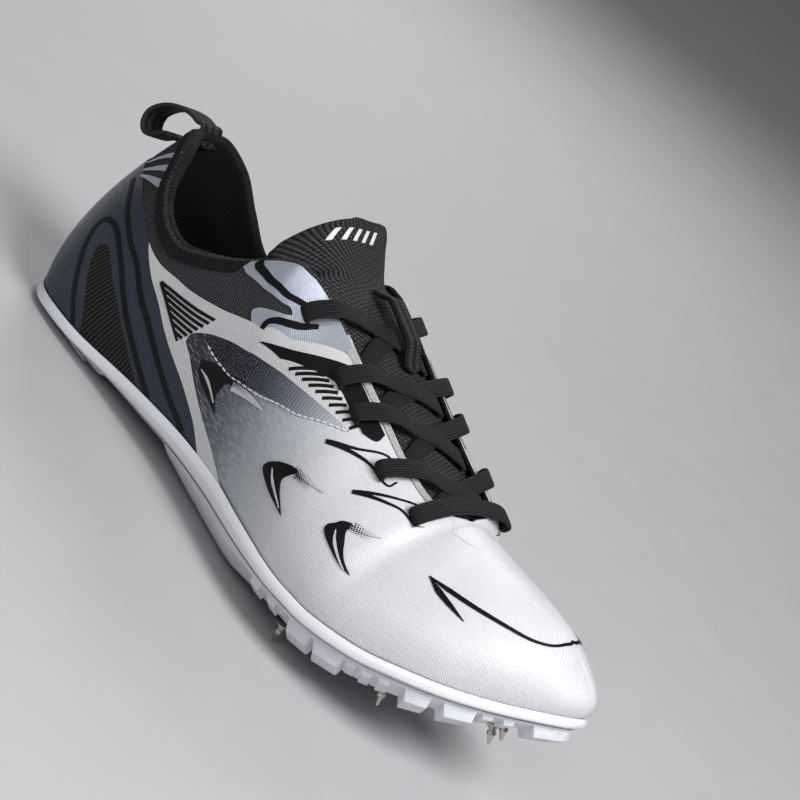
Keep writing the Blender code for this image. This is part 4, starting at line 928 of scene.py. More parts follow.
def make_upper():
    """The hollow lasted shell: outer skin, rounded top edge and inner face."""
    bends = np.linspace(0.0, math.pi, 9)[1:-1]
    profile = ([(share, math.pi) for share in SHELL_SHARES] + [(1.0, angle) for angle in bends[::-1]]
               + [(share, 0.0) for share in SHELL_SHARES[::-1]] + [(0.0, math.pi)])
    profile = np.array(profile)
    rows = len(profile) - 1

    def shape(u, v):
        k = np.rint(v * rows).astype(int)
        turn = u * 2 * HALF
        station = np.minimum(turn, 2 * HALF - turn)
        share, angle = profile[k, 0], profile[k, 1]
        wall = wall_depth(station, share)
        normal = skin_normal(turn, share)
        closed = (station >= THROAT_END - NUDGE) & (share > 1.0 - NUDGE)
        normal = np.where(closed[:, None], np.array([0.0, 0.0, 1.0]), normal)
        rise = skin(turn, share) - skin(turn, share - SHARE_STEP)
        rise /= np.linalg.norm(rise, axis=1, keepdims=True)
        opened = 1.0 - ease(THROAT_END - THROAT_CLOSING, THROAT_END, station)
        bulge = wall * np.sin(angle) * EDGE_ROUNDING * opened
        points = (skin(turn, share) - normal * (wall * (1.0 - np.cos(angle)) / 2)[:, None]
                  + rise * bulge[:, None])
        return stand(points)

    def lengths(u, v):
        k = np.rint(v * rows).astype(int)
        return cloth(np.minimum(u * 2 * HALF, 2 * HALF - NUDGE), profile[k, 0])

    first_bend, last_bend = (len(SHELL_SHARES) - 1) / rows, (len(SHELL_SHARES) + len(bends)) / rows
    closed_start, closed_end = THROAT_END / (2 * HALF), 1.0 - THROAT_END / (2 * HALF)

    def inside_ridge(u, v):
        return closed_start < u < closed_end and first_bend < v < last_bend

    piece = lay("upper_shell", SHELL_COLUMNS, rows, shape, lengths, shell_film, leave_out=inside_ridge)
    piece.data.materials.append(ankle_knit)
    piece.data.materials.append(lining_knit)
    dress_upper(piece)
    return seat(piece, "upper", "upper")


def dress_upper(piece):
    """Gives the shell its tone, and the ankle and the lining their knit."""
    data = piece.data
    grid_turn = np.linspace(0.0, 2 * HALF, SHELL_COLUMNS + 1)
    table = stand(skin(grid_turn[:, None], SHELL_SHARES[None, :])).reshape(-1, 3)
    places = np.stack(np.meshgrid(grid_turn, SHELL_SHARES, indexing="ij"), -1).reshape(-1, 2)
    tree = KDTree(len(table))
    for k, point in enumerate(table):
        tree.insert(point, k)
    tree.balance()
    found = [tree.find(vertex.co) for vertex in data.vertices]
    spot = places[[hit[1] for hit in found]]
    depth = np.array([hit[2] for hit in found])
    station = np.minimum(spot[:, 0], 2 * HALF - spot[:, 0])
    paint_tone(piece, station)
    for face in data.polygons:
        ids = list(face.vertices)
        share = spot[ids, 1].mean()
        if depth[ids].min() > UPPER_WALL * LINING_DEPTH:
            face.material_index = 2
        elif station[ids].mean() < np.interp(share, KNIT_EDGE_SHARES, KNIT_EDGE_TURNS):
            face.material_index = 1
        elif share > EYESTAY_KNIT[0] and station[ids].mean() < EYESTAY_KNIT[1]:
            face.material_index = 1


# Films over the upper, as (turn, share) points of the outer side

BAND_BACK = ((12.0, 0.83), (13.7, 0.74), (15.2, 0.62), (17.1, 0.42), (18.4, 0.30), (19.8, 0.18),
             (21.0, 0.09), (22.0, 0.0))
BAND_FRONT = ((24.0, 0.0), (22.6, 0.07), (21.1, 0.15), (19.9, 0.25), (18.9, 0.37), (18.4, 0.43),
              (18.5, 0.485), (19.2, 0.51), (20.2, 0.515), (22.4, 0.52), (24.0, 0.565), (25.1, 0.61),
              (26.1, 0.66), (27.3, 0.73))
BAND_TOP = ((25.45, 0.99), (24.9, 0.92), (24.3, 0.83), (23.7, 0.745), (23.1, 0.69), (22.2, 0.665),
            (21.5, 0.64), (19.5, 0.65), (18.2, 0.69), (16.6, 0.74), (14.6, 0.81), (12.0, 0.83))
HEEL_TOP = ((12.0, 0.83), (11.0, 0.845), (9.5, 0.83), (7.2, 0.785), (5.0, 0.745), (2.5, 0.74), (0.0, 0.755))
HATCH_CORNERS = ((14.9, 0.72), (19.1, 0.59), (18.0, 0.41))
HATCH_LINES = 7
ARCH_LINE = ((11.8, 0.02), (11.4, 0.08), (9.5, 0.28), (8.2, 0.40), (7.5, 0.48), (7.6, 0.55), (8.4, 0.60),
             (9.3, 0.62), (10.5, 0.61), (12.0, 0.57), (13.8, 0.44), (15.6, 0.25), (17.1, 0.10), (18.1, 0.02))
HEEL_LINE = ((5.2, 0.69), (7.4, 0.70), (10.6, 0.70), (12.9, 0.67), (15.3, 0.47), (17.6, 0.24), (19.2, 0.10),
             (20.6, 0.02))
HEEL_WINDOW = ((12.6, 0.02), (12.2, 0.12), (11.4, 0.24), (9.8, 0.39), (9.2, 0.48), (9.8, 0.535), (11.0, 0.52),
               (13.3, 0.41), (14.8, 0.27), (16.2, 0.12), (17.2, 0.02))
COLLAR_STRIPS = (((4.1, 0.75), (5.2, 0.88), (6.3, 0.975)), ((4.9, 0.74), (6.0, 0.84), (7.3, 0.96)),
                 ((5.5, 0.74), (6.9, 0.83), (8.6, 0.955)))
FANG = (((19.6, 0.375), (19.9, 0.30), (20.7, 0.245), (21.7, 0.20)),
        ((21.7, 0.20), (21.3, 0.265), (21.35, 0.305), (21.5, 0.34), (21.9, 0.35)),
        ((21.9, 0.385), (21.0, 0.385), (20.2, 0.385), (19.6, 0.375)))
HOOK_LOW = (((26.0, 0.33), (25.55, 0.28), (25.5, 0.24), (26.4, 0.215), (27.6, 0.215)),
            ((27.6, 0.215), (26.85, 0.265), (26.6, 0.30), (26.75, 0.34), (27.0, 0.385)),
            ((27.0, 0.40), (26.5, 0.37), (26.0, 0.33)))
HOOK_HIGH = (((29.5, 0.44), (29.35, 0.40), (29.5, 0.365), (30.3, 0.33), (31.6, 0.285)),
             ((31.6, 0.285), (30.7, 0.36), (30.3, 0.41), (30.0, 0.45), (29.95, 0.485)),
             ((29.85, 0.505), (29.6, 0.475), (29.5, 0.44)))
HOOK_SLITS = (((19.9, 0.33), (20.5, 0.30), (21.4, 0.235)), ((25.9, 0.285), (26.3, 0.255), (27.3, 0.225)),
              ((29.7, 0.42), (30.1, 0.37), (31.2, 0.30)))
TAILS = ((((21.9, 0.35), (23.0, 0.365), (23.9, 0.38)), (0.0040, 0.0022, 0.0006)),
         (((26.9, 0.395), (27.7, 0.43), (28.4, 0.47)), (0.0026, 0.0016, 0.0005)),
         (((29.9, 0.50), (30.5, 0.53), (31.0, 0.56)), (0.0022, 0.0014, 0.0005)))
TOE_LINE = ((33.6, 0.53), (34.6, 0.545), (36.3, 0.575), (38.2, 0.625), (39.1, 0.68))
TOE_CROSSING = ((39.7, 0.75), (40.25, 0.87), (40.7, 0.95), (40.8, 1.0), (40.6, 1.055), (40.2, 1.12),
                (39.6, 1.21))
TOE_LINE_WIDTHS = (0.0002, 0.0018, 0.0017, 0.0013, 0.0011)
TOE_CROSSING_WIDTH = 0.0010
BARB = ((33.6, 0.53), (34.4, 0.505), (35.2, 0.485), (36.2, 0.458))
BARB_WIDTHS = (0.0002, 0.0022, 0.0017, 0.0002)
LEAF_THIN = (0.0013, 0.0008, 0.0007, 0.0006)
LEAF_THICK = (0.0015, 0.0009, 0.0007, 0.0006)
LEAVES = ((((27.0, 0.59), (27.9, 0.73), (28.5, 0.88), (28.9, 0.90)), LEAF_THIN),
          (((27.0, 0.59), (28.4, 0.75), (29.0, 0.77), (29.4, 0.79), (29.4, 0.85)), LEAF_THICK),
          (((29.0, 0.60), (29.8, 0.78), (30.3, 0.87), (30.6, 0.89)), LEAF_THIN),
          (((29.0, 0.60), (29.8, 0.72), (30.4, 0.77), (31.2, 0.74), (31.4, 0.74)), LEAF_THICK))
WEDGE = (((22.0, 0.575), (23.1, 0.635), (23.9, 0.70), (24.7, 0.80), (25.5, 0.93)),
         ((25.5, 0.93), (25.9, 0.87), (25.8, 0.80)), ((25.8, 0.80), (24.5, 0.685), (23.3, 0.59)),
         ((23.3, 0.59), (22.0, 0.575)))
EYELET_PATCH = (((25.2, 0.81), (25.8, 0.93)), ((25.8, 0.93), (26.4, 0.93), (27.1, 0.925), (27.9, 0.93)),
                ((27.9, 0.93), (28.0, 0.86), (27.6, 0.80)),
                ((27.6, 0.80), (26.8, 0.79), (26.0, 0.79), (25.6, 0.78)), ((25.6, 0.78), (25.2, 0.81)))
HATCH_BARS = 10
BAR_ENDS = (((23.9, 0.595), (27.2, 0.735)), ((24.9, 0.74), (27.3, 0.80)))
EYESTAY = (((18.2, 0.985), (18.6, 0.93), (19.1, 0.88), (20.4, 0.81), (21.8, 0.79)),
           ((21.8, 0.79), (22.3, 0.79), (22.5, 0.77), (22.2, 0.745)),
           ((22.2, 0.745), (21.0, 0.725), (20.5, 0.70), (20.6, 0.67), (20.9, 0.635)),
           ((20.9, 0.635), (22.2, 0.64), (23.1, 0.68), (23.7, 0.73), (24.4, 0.82), (25.0, 0.92)),
           ((25.0, 0.92), (24.9, 0.985)),
           ((24.9, 0.985), (23.0, 0.985), (21.0, 0.985), (18.2, 0.985)))
SWEEPS = (((18.95, 0.985), (19.3, 0.93), (20.4, 0.86), (21.9, 0.835), (22.7, 0.86)),
          ((21.7, 0.635), (21.75, 0.675), (22.1, 0.70), (22.7, 0.735), (23.2, 0.78), (23.6, 0.85)))
SWEEP_WIDTHS = ((0.0030, 0.0026, 0.0024, 0.0020), (0.0020, 0.0024, 0.0026, 0.0016))
WINDOW = (((19.2, 0.50), (20.8, 0.525), (23.2, 0.55), (25.3, 0.645), (27.3, 0.73)),
          ((27.3, 0.73), (25.5, 0.53), (23.2, 0.41), (21.6, 0.385), (20.3, 0.415), (19.3, 0.47),
           (19.2, 0.50)))
WINDOW_STITCHES = ((19.4, 0.46), (20.3, 0.408), (21.6, 0.378), (23.2, 0.40), (24.4, 0.46), (25.5, 0.525),
                   (26.5, 0.63), (27.3, 0.725))
THROAT_PATCH = (((32.4, 0.80), (33.4, 0.86), (33.7, 1.0)), ((33.7, 1.0), (33.4, 1.14), (32.4, 1.20)),
                ((32.4, 1.20), (31.6, 1.12)), ((31.6, 1.12), (31.9, 1.0), (31.6, 0.88)),
                ((31.6, 0.88), (32.4, 0.80)))
COLLAR_BINDING = (((-18.6, 0.985), (0.0, 0.985), (18.6, 0.985)), ((18.6, 0.985), (18.3, 0.90)),
                  ((18.3, 0.90), (14.0, 0.905), (9.0, 0.925), (4.0, 0.945), (0.0, 0.95), (-4.0, 0.945),
                   (-9.0, 0.925), (-14.0, 0.905), (-18.3, 0.90)), ((-18.3, 0.90), (-18.6, 0.985)))
WHITE_EDGE = (((24.8, 0.935), (27.0, 0.95), (29.0, 0.95), (31.0, 0.94)),
              ((31.0, 0.94), (31.0, 0.995)),
              ((31.0, 0.995), (29.0, 0.995), (27.0, 0.995), (24.8, 0.995)),
              ((24.8, 0.995), (24.8, 0.935)))
TOE_FILM_BACK = ((33.4, 1.0), (33.2, 0.88), (33.1, 0.72), (33.6, 0.53))
WINDOW_TONE_SHIFT = 2.6    # the mesh window is as dark as the shell this many turns further back
# Widths of the drawn lines in metres, from one end to the other
HATCH_EDGE_WIDTHS = (0.0013, 0.0009)
HATCH_WIDTHS = (0.0012, 0.0012)
BAR_WIDTHS = (0.0011, 0.0011)
ARCH_WIDTHS = (0.0021, 0.0021)
HEEL_WIDTHS = (0.0020, 0.0022)
STRIP_WIDTHS = (0.0008, 0.0020, 0.0028)
SLIT_WIDTHS = (0.0003, 0.0011, 0.0003)


def between(first, last, share):
    return tuple(a + (b - a) * share for a, b in zip(first, last))


def hatch_lines():
    """Lines across the triangle in the band, shorter towards its lower corner, and its back edge."""
    top, right, bottom = HATCH_CORNERS
    lines = [line_of((top, bottom), HATCH_EDGE_WIDTHS)]
    for k in range(HATCH_LINES):
        share = k / HATCH_LINES
        lines.append(line_of((between(top, bottom, share), between(right, bottom, share)), HATCH_WIDTHS))
    return lines


def hatch_bars():
    """Bars from the black wedge back to the eyelets."""
    (low_start, low_end), (high_start, high_end) = BAR_ENDS
    shares = [k / (HATCH_BARS - 1) for k in range(HATCH_BARS)]
    return [line_of((between(low_start, low_end, share), between(high_start, high_end, share)), BAR_WIDTHS)
            for share in shares]


# Halftones: first dot's turn and share, its radius, and the slope of the rows
HALFTONES = (((21.95, 0.372), 0.00050, 0.05), ((27.0, 0.385), 0.00046, 0.30), ((29.95, 0.497), 0.00044, 0.25))
DOT_PITCH = 0.0010
DOT_COLUMNS = 9
DOT_ROWS = (-2, -1, 0, 1, 2)
ROW_PITCH = 0.8            # distance of the rows in dot pitches
ROW_SHRINK = 0.22          # part of its radius that a dot loses for each row from the middle one
DOT_ANGLES = np.linspace(0.0, 2.0 * math.pi, 9)[:-1]


def halftone_dots():
    """Dots that shrink away from each hook's end, where its print fades out."""
    dots = []
    for (turn, share), radius, slope in HALFTONES:
        turn_scale, share_scale = cloth_scale(np.array(turn), np.array(share))
        for column in range(DOT_COLUMNS):
            for row in DOT_ROWS:
                size = radius * (1.0 - column / (DOT_COLUMNS + 1)) * (1.0 - ROW_SHRINK * abs(row))
                ahead = (column + 0.5 * (row % 2)) * DOT_PITCH
                aside = row * DOT_PITCH * ROW_PITCH + slope * ahead
                dots.append(np.column_stack([turn + (ahead + size * np.cos(DOT_ANGLES)) / turn_scale,
                                             share + (aside + size * np.sin(DOT_ANGLES)) / share_scale]))
    return dots


STITCH_LENGTH = 0.0021
STITCH_STEP = 0.0030
STITCH_WALL = 0.0003
STITCH_WIDTHS = (0.00036, 0.0006, 0.00036)


def stitch_row(path):
    """Outlines of a row of short raised threads along a path of turns and shares."""
    path = smooth_line(path, 8 * (len(path) - 1) + 1)
    scale = np.stack(cloth_scale(*fold(path[:, 0], path[:, 1])), -1)
    reach = np.linalg.norm(np.diff(path, axis=0) * scale[:-1], axis=1)
    way = np.concatenate([[0.0], np.cumsum(reach)])
    outlines = []
    for start in np.arange(STITCH_STEP / 2, way[-1] - STITCH_LENGTH, STITCH_STEP):
        ends = [np.array([np.interp(place, way, path[:, axis]) for axis in (0, 1)])
                for place in (start, start + STITCH_LENGTH)]
        outlines.append(line_of(ends, STITCH_WIDTHS, steps=4))
    return outlines


def mirrored(points):
    """Points of the other side of the heel, in the order that goes on from them."""
    return tuple((-turn, share) for turn, share in reversed(points))


def beyond_ridge(points):
    """Points of the other side of the vamp, in the order that goes on from them."""
    return tuple((turn, 2.0 - share) for turn, share in reversed(points))


def make_films():
    """Every film and print on the upper, from the lowest layer up."""
    heel_front = BAND_BACK[1:][::-1]
    heel = outline_of(heel_front, HEEL_TOP, mirrored(HEEL_TOP), mirrored(heel_front),
                      ((-22.0, 0.0), (0.0, 0.0)), ((0.0, 0.0), (22.0, 0.0)))
    film("heel_counter_film", [heel], heel_film, "heel_counter", both=False, nodes=("heel_counter",))
    toe_front = TOE_LINE + TOE_CROSSING + beyond_ridge(TOE_LINE)
    toe_back = beyond_ridge(TOE_FILM_BACK) + TOE_FILM_BACK[1:]
    film("toe_cap_film", [outline_of(toe_front, toe_back)], toe_film, "upper", layer=0, wall=TOE_FILM_WALL,
         both=False)
    film("throat_patch", [outline_of(*THROAT_PATCH)], toe_film, "upper", wall=PATCH_WALL, both=False)
    film("mesh_window", [outline_of(*WINDOW)], shade_mesh, "upper", toned=WINDOW_TONE_SHIFT)
    film("collar_binding", [outline_of(*COLLAR_BINDING)], lining_knit, "upper", wall=BINDING_WALL,
         both=False)
    film("eyestay_film", [outline_of(*EYESTAY)], silver_film, "eyestay",
         nodes=("eyestay_lateral", "eyestay_medial"))
    film("band", [outline_of(BAND_BACK, ((22.0, 0.0), (24.0, 0.0)), BAND_FRONT, (BAND_FRONT[-1], BAND_TOP[0]),
                             BAND_TOP)], band_film, "upper", layer=2)
    film("throat_edge", [outline_of(*WHITE_EDGE)], frayed_edge, "eyestay", layer=3)
    film("heel_window", [outline_of(HEEL_WINDOW, (HEEL_WINDOW[-1], HEEL_WINDOW[0]))], window_mesh,
         "heel_counter", layer=2)
    film("heel_lines", [line_of(ARCH_LINE, ARCH_WIDTHS), line_of(HEEL_LINE, HEEL_WIDTHS)],
         print_black, "heel_counter", layer=3)
    film("collar_strips", [line_of(path, STRIP_WIDTHS) for path in COLLAR_STRIPS], silver_film, "upper",
         layer=2)
    film("band_hatch", hatch_lines(), print_black, "upper", layer=4)
    film("sweeps", [line_of(path, widths) for path, widths in zip(SWEEPS, SWEEP_WIDTHS)], print_black,
         "upper", layer=3)
    film("wedge", [outline_of(*WEDGE), outline_of(*EYELET_PATCH)], print_black, "upper", layer=4)
    film("eyelet_bars", hatch_bars(), print_black, "upper", layer=4)
    film("hooks", [outline_of(*FANG), outline_of(*HOOK_LOW), outline_of(*HOOK_HIGH)], print_black, "upper",
         layer=2)
    film("hook_slits", [line_of(path, SLIT_WIDTHS) for path in HOOK_SLITS], print_pale, "upper", layer=4)
    film("hook_tails", [line_of(path, widths) for path, widths in TAILS], print_pale, "upper", layer=2)
    toe_widths = TOE_LINE_WIDTHS + (TOE_CROSSING_WIDTH,) * len(TOE_CROSSING) + TOE_LINE_WIDTHS[::-1]
    film("toe_line", [line_of(toe_front, toe_widths)], print_black, "upper", layer=3, both=False)
    film("barb", [line_of(BARB, BARB_WIDTHS)], print_black, "upper", layer=3)
    film("halftone", halftone_dots(), print_black, "upper", layer=3)
    film("window_stitches", stitch_row(WINDOW_STITCHES), thread_white, "upper", layer=3, wall=STITCH_WALL)
    film("leaves", [line_of(path, widths) for path, widths in LEAVES], print_black, "upper", layer=2)


# The tongue, the laces, the keeper and the pull loop

TONGUE_MARKS = (0.0, 0.2, 0.5, 0.8, 1.0)
TONGUE_SHARES = (0.0, 0.14, 0.27, 0.39, 0.5, 0.61, 0.73, 0.86, 1.0)
MIDDLE = len(TONGUE_SHARES) // 2
CROWN_LEAD = 0.35          # how far the crown goes on in the line of the tongue below it
CROWN_PULL = 0.2
TONGUE_OUTWARD = (0.35, 0.0, 0.94)


def upper_point(turn, side, share, lift=0.0):
    return over(np.array(float(turn) if side < 0 else 2 * HALF - float(turn)), np.array(float(share)), lift)


def tongue_rows():
    """Rows of the tongue's face with the thickness there, from under the vamp to the crown."""
    rows = []
    lift = -(UPPER_WALL + TONGUE_CLEARANCE)
    for turn, edge, shoulder in TONGUE_UNDER:
        outer_edge, outer_shoulder = (upper_point(turn, LATERAL, share, lift) for share in (edge, shoulder))
        inner_edge, inner_shoulder = (upper_point(turn, MEDIAL, share, lift) for share in (edge, shoulder))
        arch = TONGUE_ARCH * INSTEP_HEIGHT * float(ease(THROAT_END + 1, THROAT_END - 3, turn))
        ridge = (outer_shoulder + inner_shoulder) / 2 + np.array([0.0, 0.0, arch])
        if turn >= THROAT_END:
            ridge = upper_point(turn, LATERAL, 1.0, lift)
        outer_shoulder[2] -= TONGUE_CLEARANCE / 2
        inner_shoulder[2] -= TONGUE_CLEARANCE / 2
        anchors = np.array([outer_edge, outer_shoulder, ridge, inner_shoulder, inner_edge])
        row = np.stack([Curve(TONGUE_MARKS, anchors[:, axis])(TONGUE_SHARES) for axis in range(3)], -1)
        rows.append((row, TONGUE_WALL))
    base, before = rows[-1][0][MIDDLE], rows[-2][0][MIDDLE]
    crown = np.array([TONGUE_CROWN, base[1] + TONGUE_SWING, TONGUE_HEIGHT])
    way = crown - base
    lead = (base - before) / np.linalg.norm(base - before) * np.linalg.norm(way) * CROWN_LEAD
    for climb, outer_half, inner_half, outer_bow, inner_bow, sag, inner_lift, pad in CROWN:
        rest = 1.0 - climb
        centre = rest ** 2 * base + 2 * rest * climb * (base + lead + way * CROWN_PULL) + climb ** 2 * crown
        heading = 2 * rest * (lead + way * CROWN_PULL) + 2 * climb * (crown - base - lead - way * CROWN_PULL)
        heading = heading / np.linalg.norm(heading)
        back = np.array([-heading[2], 0.0, heading[0]])
        place = 2.0 * np.array(TONGUE_SHARES) - 1.0
        outer = place < 0.0
        aside = place * np.where(outer, outer_half, inner_half)
        climbing = np.where(outer, -sag, inner_lift) * place ** 2
        bowed = np.where(outer, outer_bow, inner_bow) * place ** 2
        row = (centre + np.stack([np.zeros_like(place), aside, climbing], -1) * HEEL_WIDTH
               + back * HEEL_WIDTH * bowed[:, None])
        rows.append((row, TONGUE_WALL * pad))
    return np.array([row for row, _ in rows]), np.array([wall for _, wall in rows])


tongue_face, tongue_walls = tongue_rows()


def tongue_spot(turn, place, lift):
    """Point over the tongue's face. place 0 is its outer edge and 1 its inner one."""
    along = min(max(TONGUE_UNDER[0][0] - turn, 0.0), len(TONGUE_UNDER) - 1.001)
    across = place * 2 * MIDDLE
    k, j = int(along), min(int(across), 2 * MIDDLE - 1)
    u, v = along - k, across - j
    point = ((1 - u) * ((1 - v) * tongue_face[k, j] + v * tongue_face[k, j + 1])
             + u * ((1 - v) * tongue_face[k + 1, j] + v * tongue_face[k + 1, j + 1]))
    return point + lift * np.array(TONGUE_OUTWARD)


PAD_ROWS = 150
PAD_COLUMNS = 48


def fine_tongue():
    """The tongue's face and thickness on a fine grid, with its normals."""
    face = smooth_line(tongue_face, PAD_ROWS + 1)
    face = np.swapaxes(smooth_line(np.swapaxes(face, 0, 1), PAD_COLUMNS + 1), 0, 1)
    wall = smooth_line(tongue_walls[:, None], PAD_ROWS + 1)[:, 0]
    normal = np.cross(np.gradient(face, axis=0), np.gradient(face, axis=1))
    normal /= np.linalg.norm(normal, axis=2, keepdims=True)
    low_middle = normal[PAD_ROWS // 15, PAD_COLUMNS // 2, 2]
    return face, wall, normal if low_middle > 0.0 else -normal


TONGUE_CLOTH = 0.045       # width of the tongue's cloth
TONGUE_ENDS = (0.01, 0.035)  # shares of its length over which the pad thins to its lower and upper end
TONGUE_FULLNESS = 5
# Bars on the tongue: across and climb are shares of its width and length
BAR_COUNT = 5
BAR_STEP = 0.105
BAR_CLIMB = (0.80, 0.868)
BAR_START = 0.26
BAR_LEAN = 0.045
BAR_HALF = 0.022


BAR_LIFT = 0.00025
BAR_WALL = 0.0002
BAR_CLOTH = (0.002, 0.008)


def read_grid(grid, climb, across):
    """Value of the fine tongue's grid at shares of its length and width."""
    k, j = climb * PAD_ROWS, across * PAD_COLUMNS
    k0, j0 = int(k), int(j)
    a, b = k - k0, j - j0
    return ((1 - a) * (1 - b) * grid[k0, j0] + a * (1 - b) * grid[k0 + 1, j0]
            + (1 - a) * b * grid[k0, j0 + 1] + a * b * grid[k0 + 1, j0 + 1])


def make_tongue_bars(face, normal):
    """A short row of slanted pale bars printed on the tongue near its top."""
    pieces = []
    for number in range(BAR_COUNT):
        middle = BAR_START + number * BAR_STEP

        def shape(u, v):
            climbs = BAR_CLIMB[0] + (BAR_CLIMB[1] - BAR_CLIMB[0]) * v
            places = middle + BAR_LEAN * v + BAR_HALF * (2.0 * u - 1.0)
            points = [read_grid(face, climb, across) + read_grid(normal, climb, across) * BAR_LIFT
                      for climb, across in zip(climbs, places)]
            return stand(points)

        pieces.append(lay(f"bar_{number}", 4, 10, shape, lambda u, v: (u * BAR_CLOTH[0], v * BAR_CLOTH[1]),
                          thread_white))
    bars = join("tongue_bars", pieces)
    wall = bars.modifiers.new("wall", "SOLIDIFY")
    wall.thickness = BAR_WALL
    wall.offset = 1.0
    bpy.ops.object.modifier_apply(modifier="wall")
    seat(bars, "tongue")


def make_tongue():
    """Padded tongue: a crowned face, rounded edges and a flatter back."""
    face, wall, normal = fine_tongue()
    along = np.linspace(0.0, 1.0, PAD_ROWS + 1)
    close = np.sqrt(np.clip(np.minimum(along / TONGUE_ENDS[0], (1.0 - along) / TONGUE_ENDS[1]), 0.0, 1.0))
    way = way_along(face[:, PAD_COLUMNS // 2])

    def parts(u, v):
        k = np.rint(u * PAD_ROWS).astype(int)
        around = np.abs(2.0 * v - 1.0)
        return k, np.rint(around * PAD_COLUMNS).astype(int), np.where(v < 0.5, -1.0, 1.0)

    def shape(u, v):
        k, j, outside = parts(u, v)
        place = 2.0 * j / PAD_COLUMNS - 1.0
        half = wall[k] / 2 * np.sqrt(np.clip(1.0 - np.abs(place) ** TONGUE_FULLNESS, 0.0, 1.0)) * close[k]
        middle = face[k, j] - normal[k, j] * (wall[k] / 2)[:, None]
        return stand(middle + normal[k, j] * (half * outside)[:, None])

    def lengths(u, v):
        k, j, _ = parts(u, v)
        return j / PAD_COLUMNS * TONGUE_CLOTH, way[k]

    piece = lay("tongue_pad", PAD_ROWS, 2 * PAD_COLUMNS, shape, lengths, tongue_knit)
    seat(piece, "tongue", "tongue")
    make_tongue_bars(face, normal)


OVERLAY_WALL = 0.0008
LACE_BULK = 1.25           # the soft lace swells past its solid's thickness
LACE_DIVE = 0.030          # share between an eyelet and the lace's end under it
LACE_COLUMNS = 110
LACE_ROWS = 24
# Where a strand crosses the tongue: part of its way, place aside from the middle, lift in lace thicknesses
OVER_TONGUE = ((0.38, 0.14, 0.25), (0.52, 0.0, 0.0), (0.67, -0.14, 0.0))
UNDER_NEXT = ((0.79, -0.21, 0.0), (0.88, -0.28, -1.0))
AT_EDGE = 0.20


def strand(high_row, low_row, side, lift):
    """Middle line of a lace strand from one side's eyelet over the tongue to the other side."""
    stack = 4 * GAP + OVERLAY_WALL + LACE_THICKNESS / 2 + lift
    above = 2 * GAP + LACE_THICKNESS / 2 + lift
    if high_row == low_row:
        above += LACE_THICKNESS + LACE_RISE + GAP
    start, *shares = EYELETS[high_row]
    end, *end_shares = EYELETS[low_row]
    share, end_share = shares[side > 0], end_shares[side < 0]

    def turn_at(part):
        return start + (end - start) * part

    def crossing(rows):
        return [tongue_spot(turn_at(part), 0.5 + side * aside, above + LACE_THICKNESS * rise)
                for part, aside, rise in rows]

    anchors = [upper_point(start, side, share - LACE_DIVE, -UPPER_WALL / 2),
               upper_point(start, side, share, stack),
               upper_point(turn_at(AT_EDGE), side, 1.0, stack), *crossing(OVER_TONGUE)]
    if high_row == low_row:
        anchors += [upper_point(end, -side, 1.0, stack), upper_point(end, -side, end_share, stack),
                    upper_point(end, -side, end_share - LACE_DIVE, -UPPER_WALL / 2)]
    else:
        anchors += crossing(UNDER_NEXT)
    return np.array(anchors)


def make_laces():
    """The flat braided lace: the bottom bar and the crossings above it."""
    ahead = np.array([1.0, 0.0, -0.4])

    def lace(high_row, low_row, side, lift, name):
        line = stand(strand(high_row, low_row, side, lift))
        return band(name, line, ahead @ STAND_TURN.T, LACE_WIDTH, LACE_THICKNESS * LACE_BULK, lace_braid,
                    columns=LACE_COLUMNS, rows=LACE_ROWS)

    seat(lace(0, 0, LATERAL, 0.0, "lace_first"), "lace", "lace_bar")
    for row in range(1, len(EYELETS)):
        pair = [lace(row, row - 1, MEDIAL, 0.0, f"lace_under_{row}"),
                lace(row, row - 1, LATERAL, LACE_RISE, f"lace_over_{row}")]
        seat(join(f"lace_pair_{row}", pair), "lace", f"lace_cross_{row}")


ACROSS = (0.0, 1.0, 0.0)
WEBBING_SQUARENESS = 0.4
KEEPER_TURNS = (25.6, 22.2)
KEEPER_PLACE = 0.60
KEEPER_POINTS = 9
KEEPER_RISE = (0.0, 0.3)
KEEPER_FALL = (0.7, 1.0)


def make_keeper():
    """Webbing bridge on the tongue over the upper laces."""
    lace_stack = 2 * LACE_THICKNESS + LACE_RISE + 4 * GAP
    line = []
    for k in range(KEEPER_POINTS):
        share = k / (KEEPER_POINTS - 1)
        bridge = float(ease(*KEEPER_RISE, share) * (1.0 - ease(*KEEPER_FALL, share)))
        line.append(tongue_spot(KEEPER_TURNS[0] + (KEEPER_TURNS[1] - KEEPER_TURNS[0]) * share, KEEPER_PLACE,
                                2 * GAP + WEBBING / 2 + lace_stack * bridge))
    piece = band("keeper", stand(line), ACROSS, KEEPER_WIDTH, WEBBING, webbing_rib,
                 roundness=WEBBING_SQUARENESS)
    seat(piece, "webbing", "tongue_keeper")


# Pull loop from the collar's top edge: part of its reach behind the heel and of its hang
LOOP_BENDS = ((0.30, -0.04), (0.62, 0.07), (0.86, 0.30), (1.00, 0.62), (0.96, 0.95), (0.78, 1.08))
LOOP_SEAT_SHARE = 0.86
LOOP_COLUMNS = 90


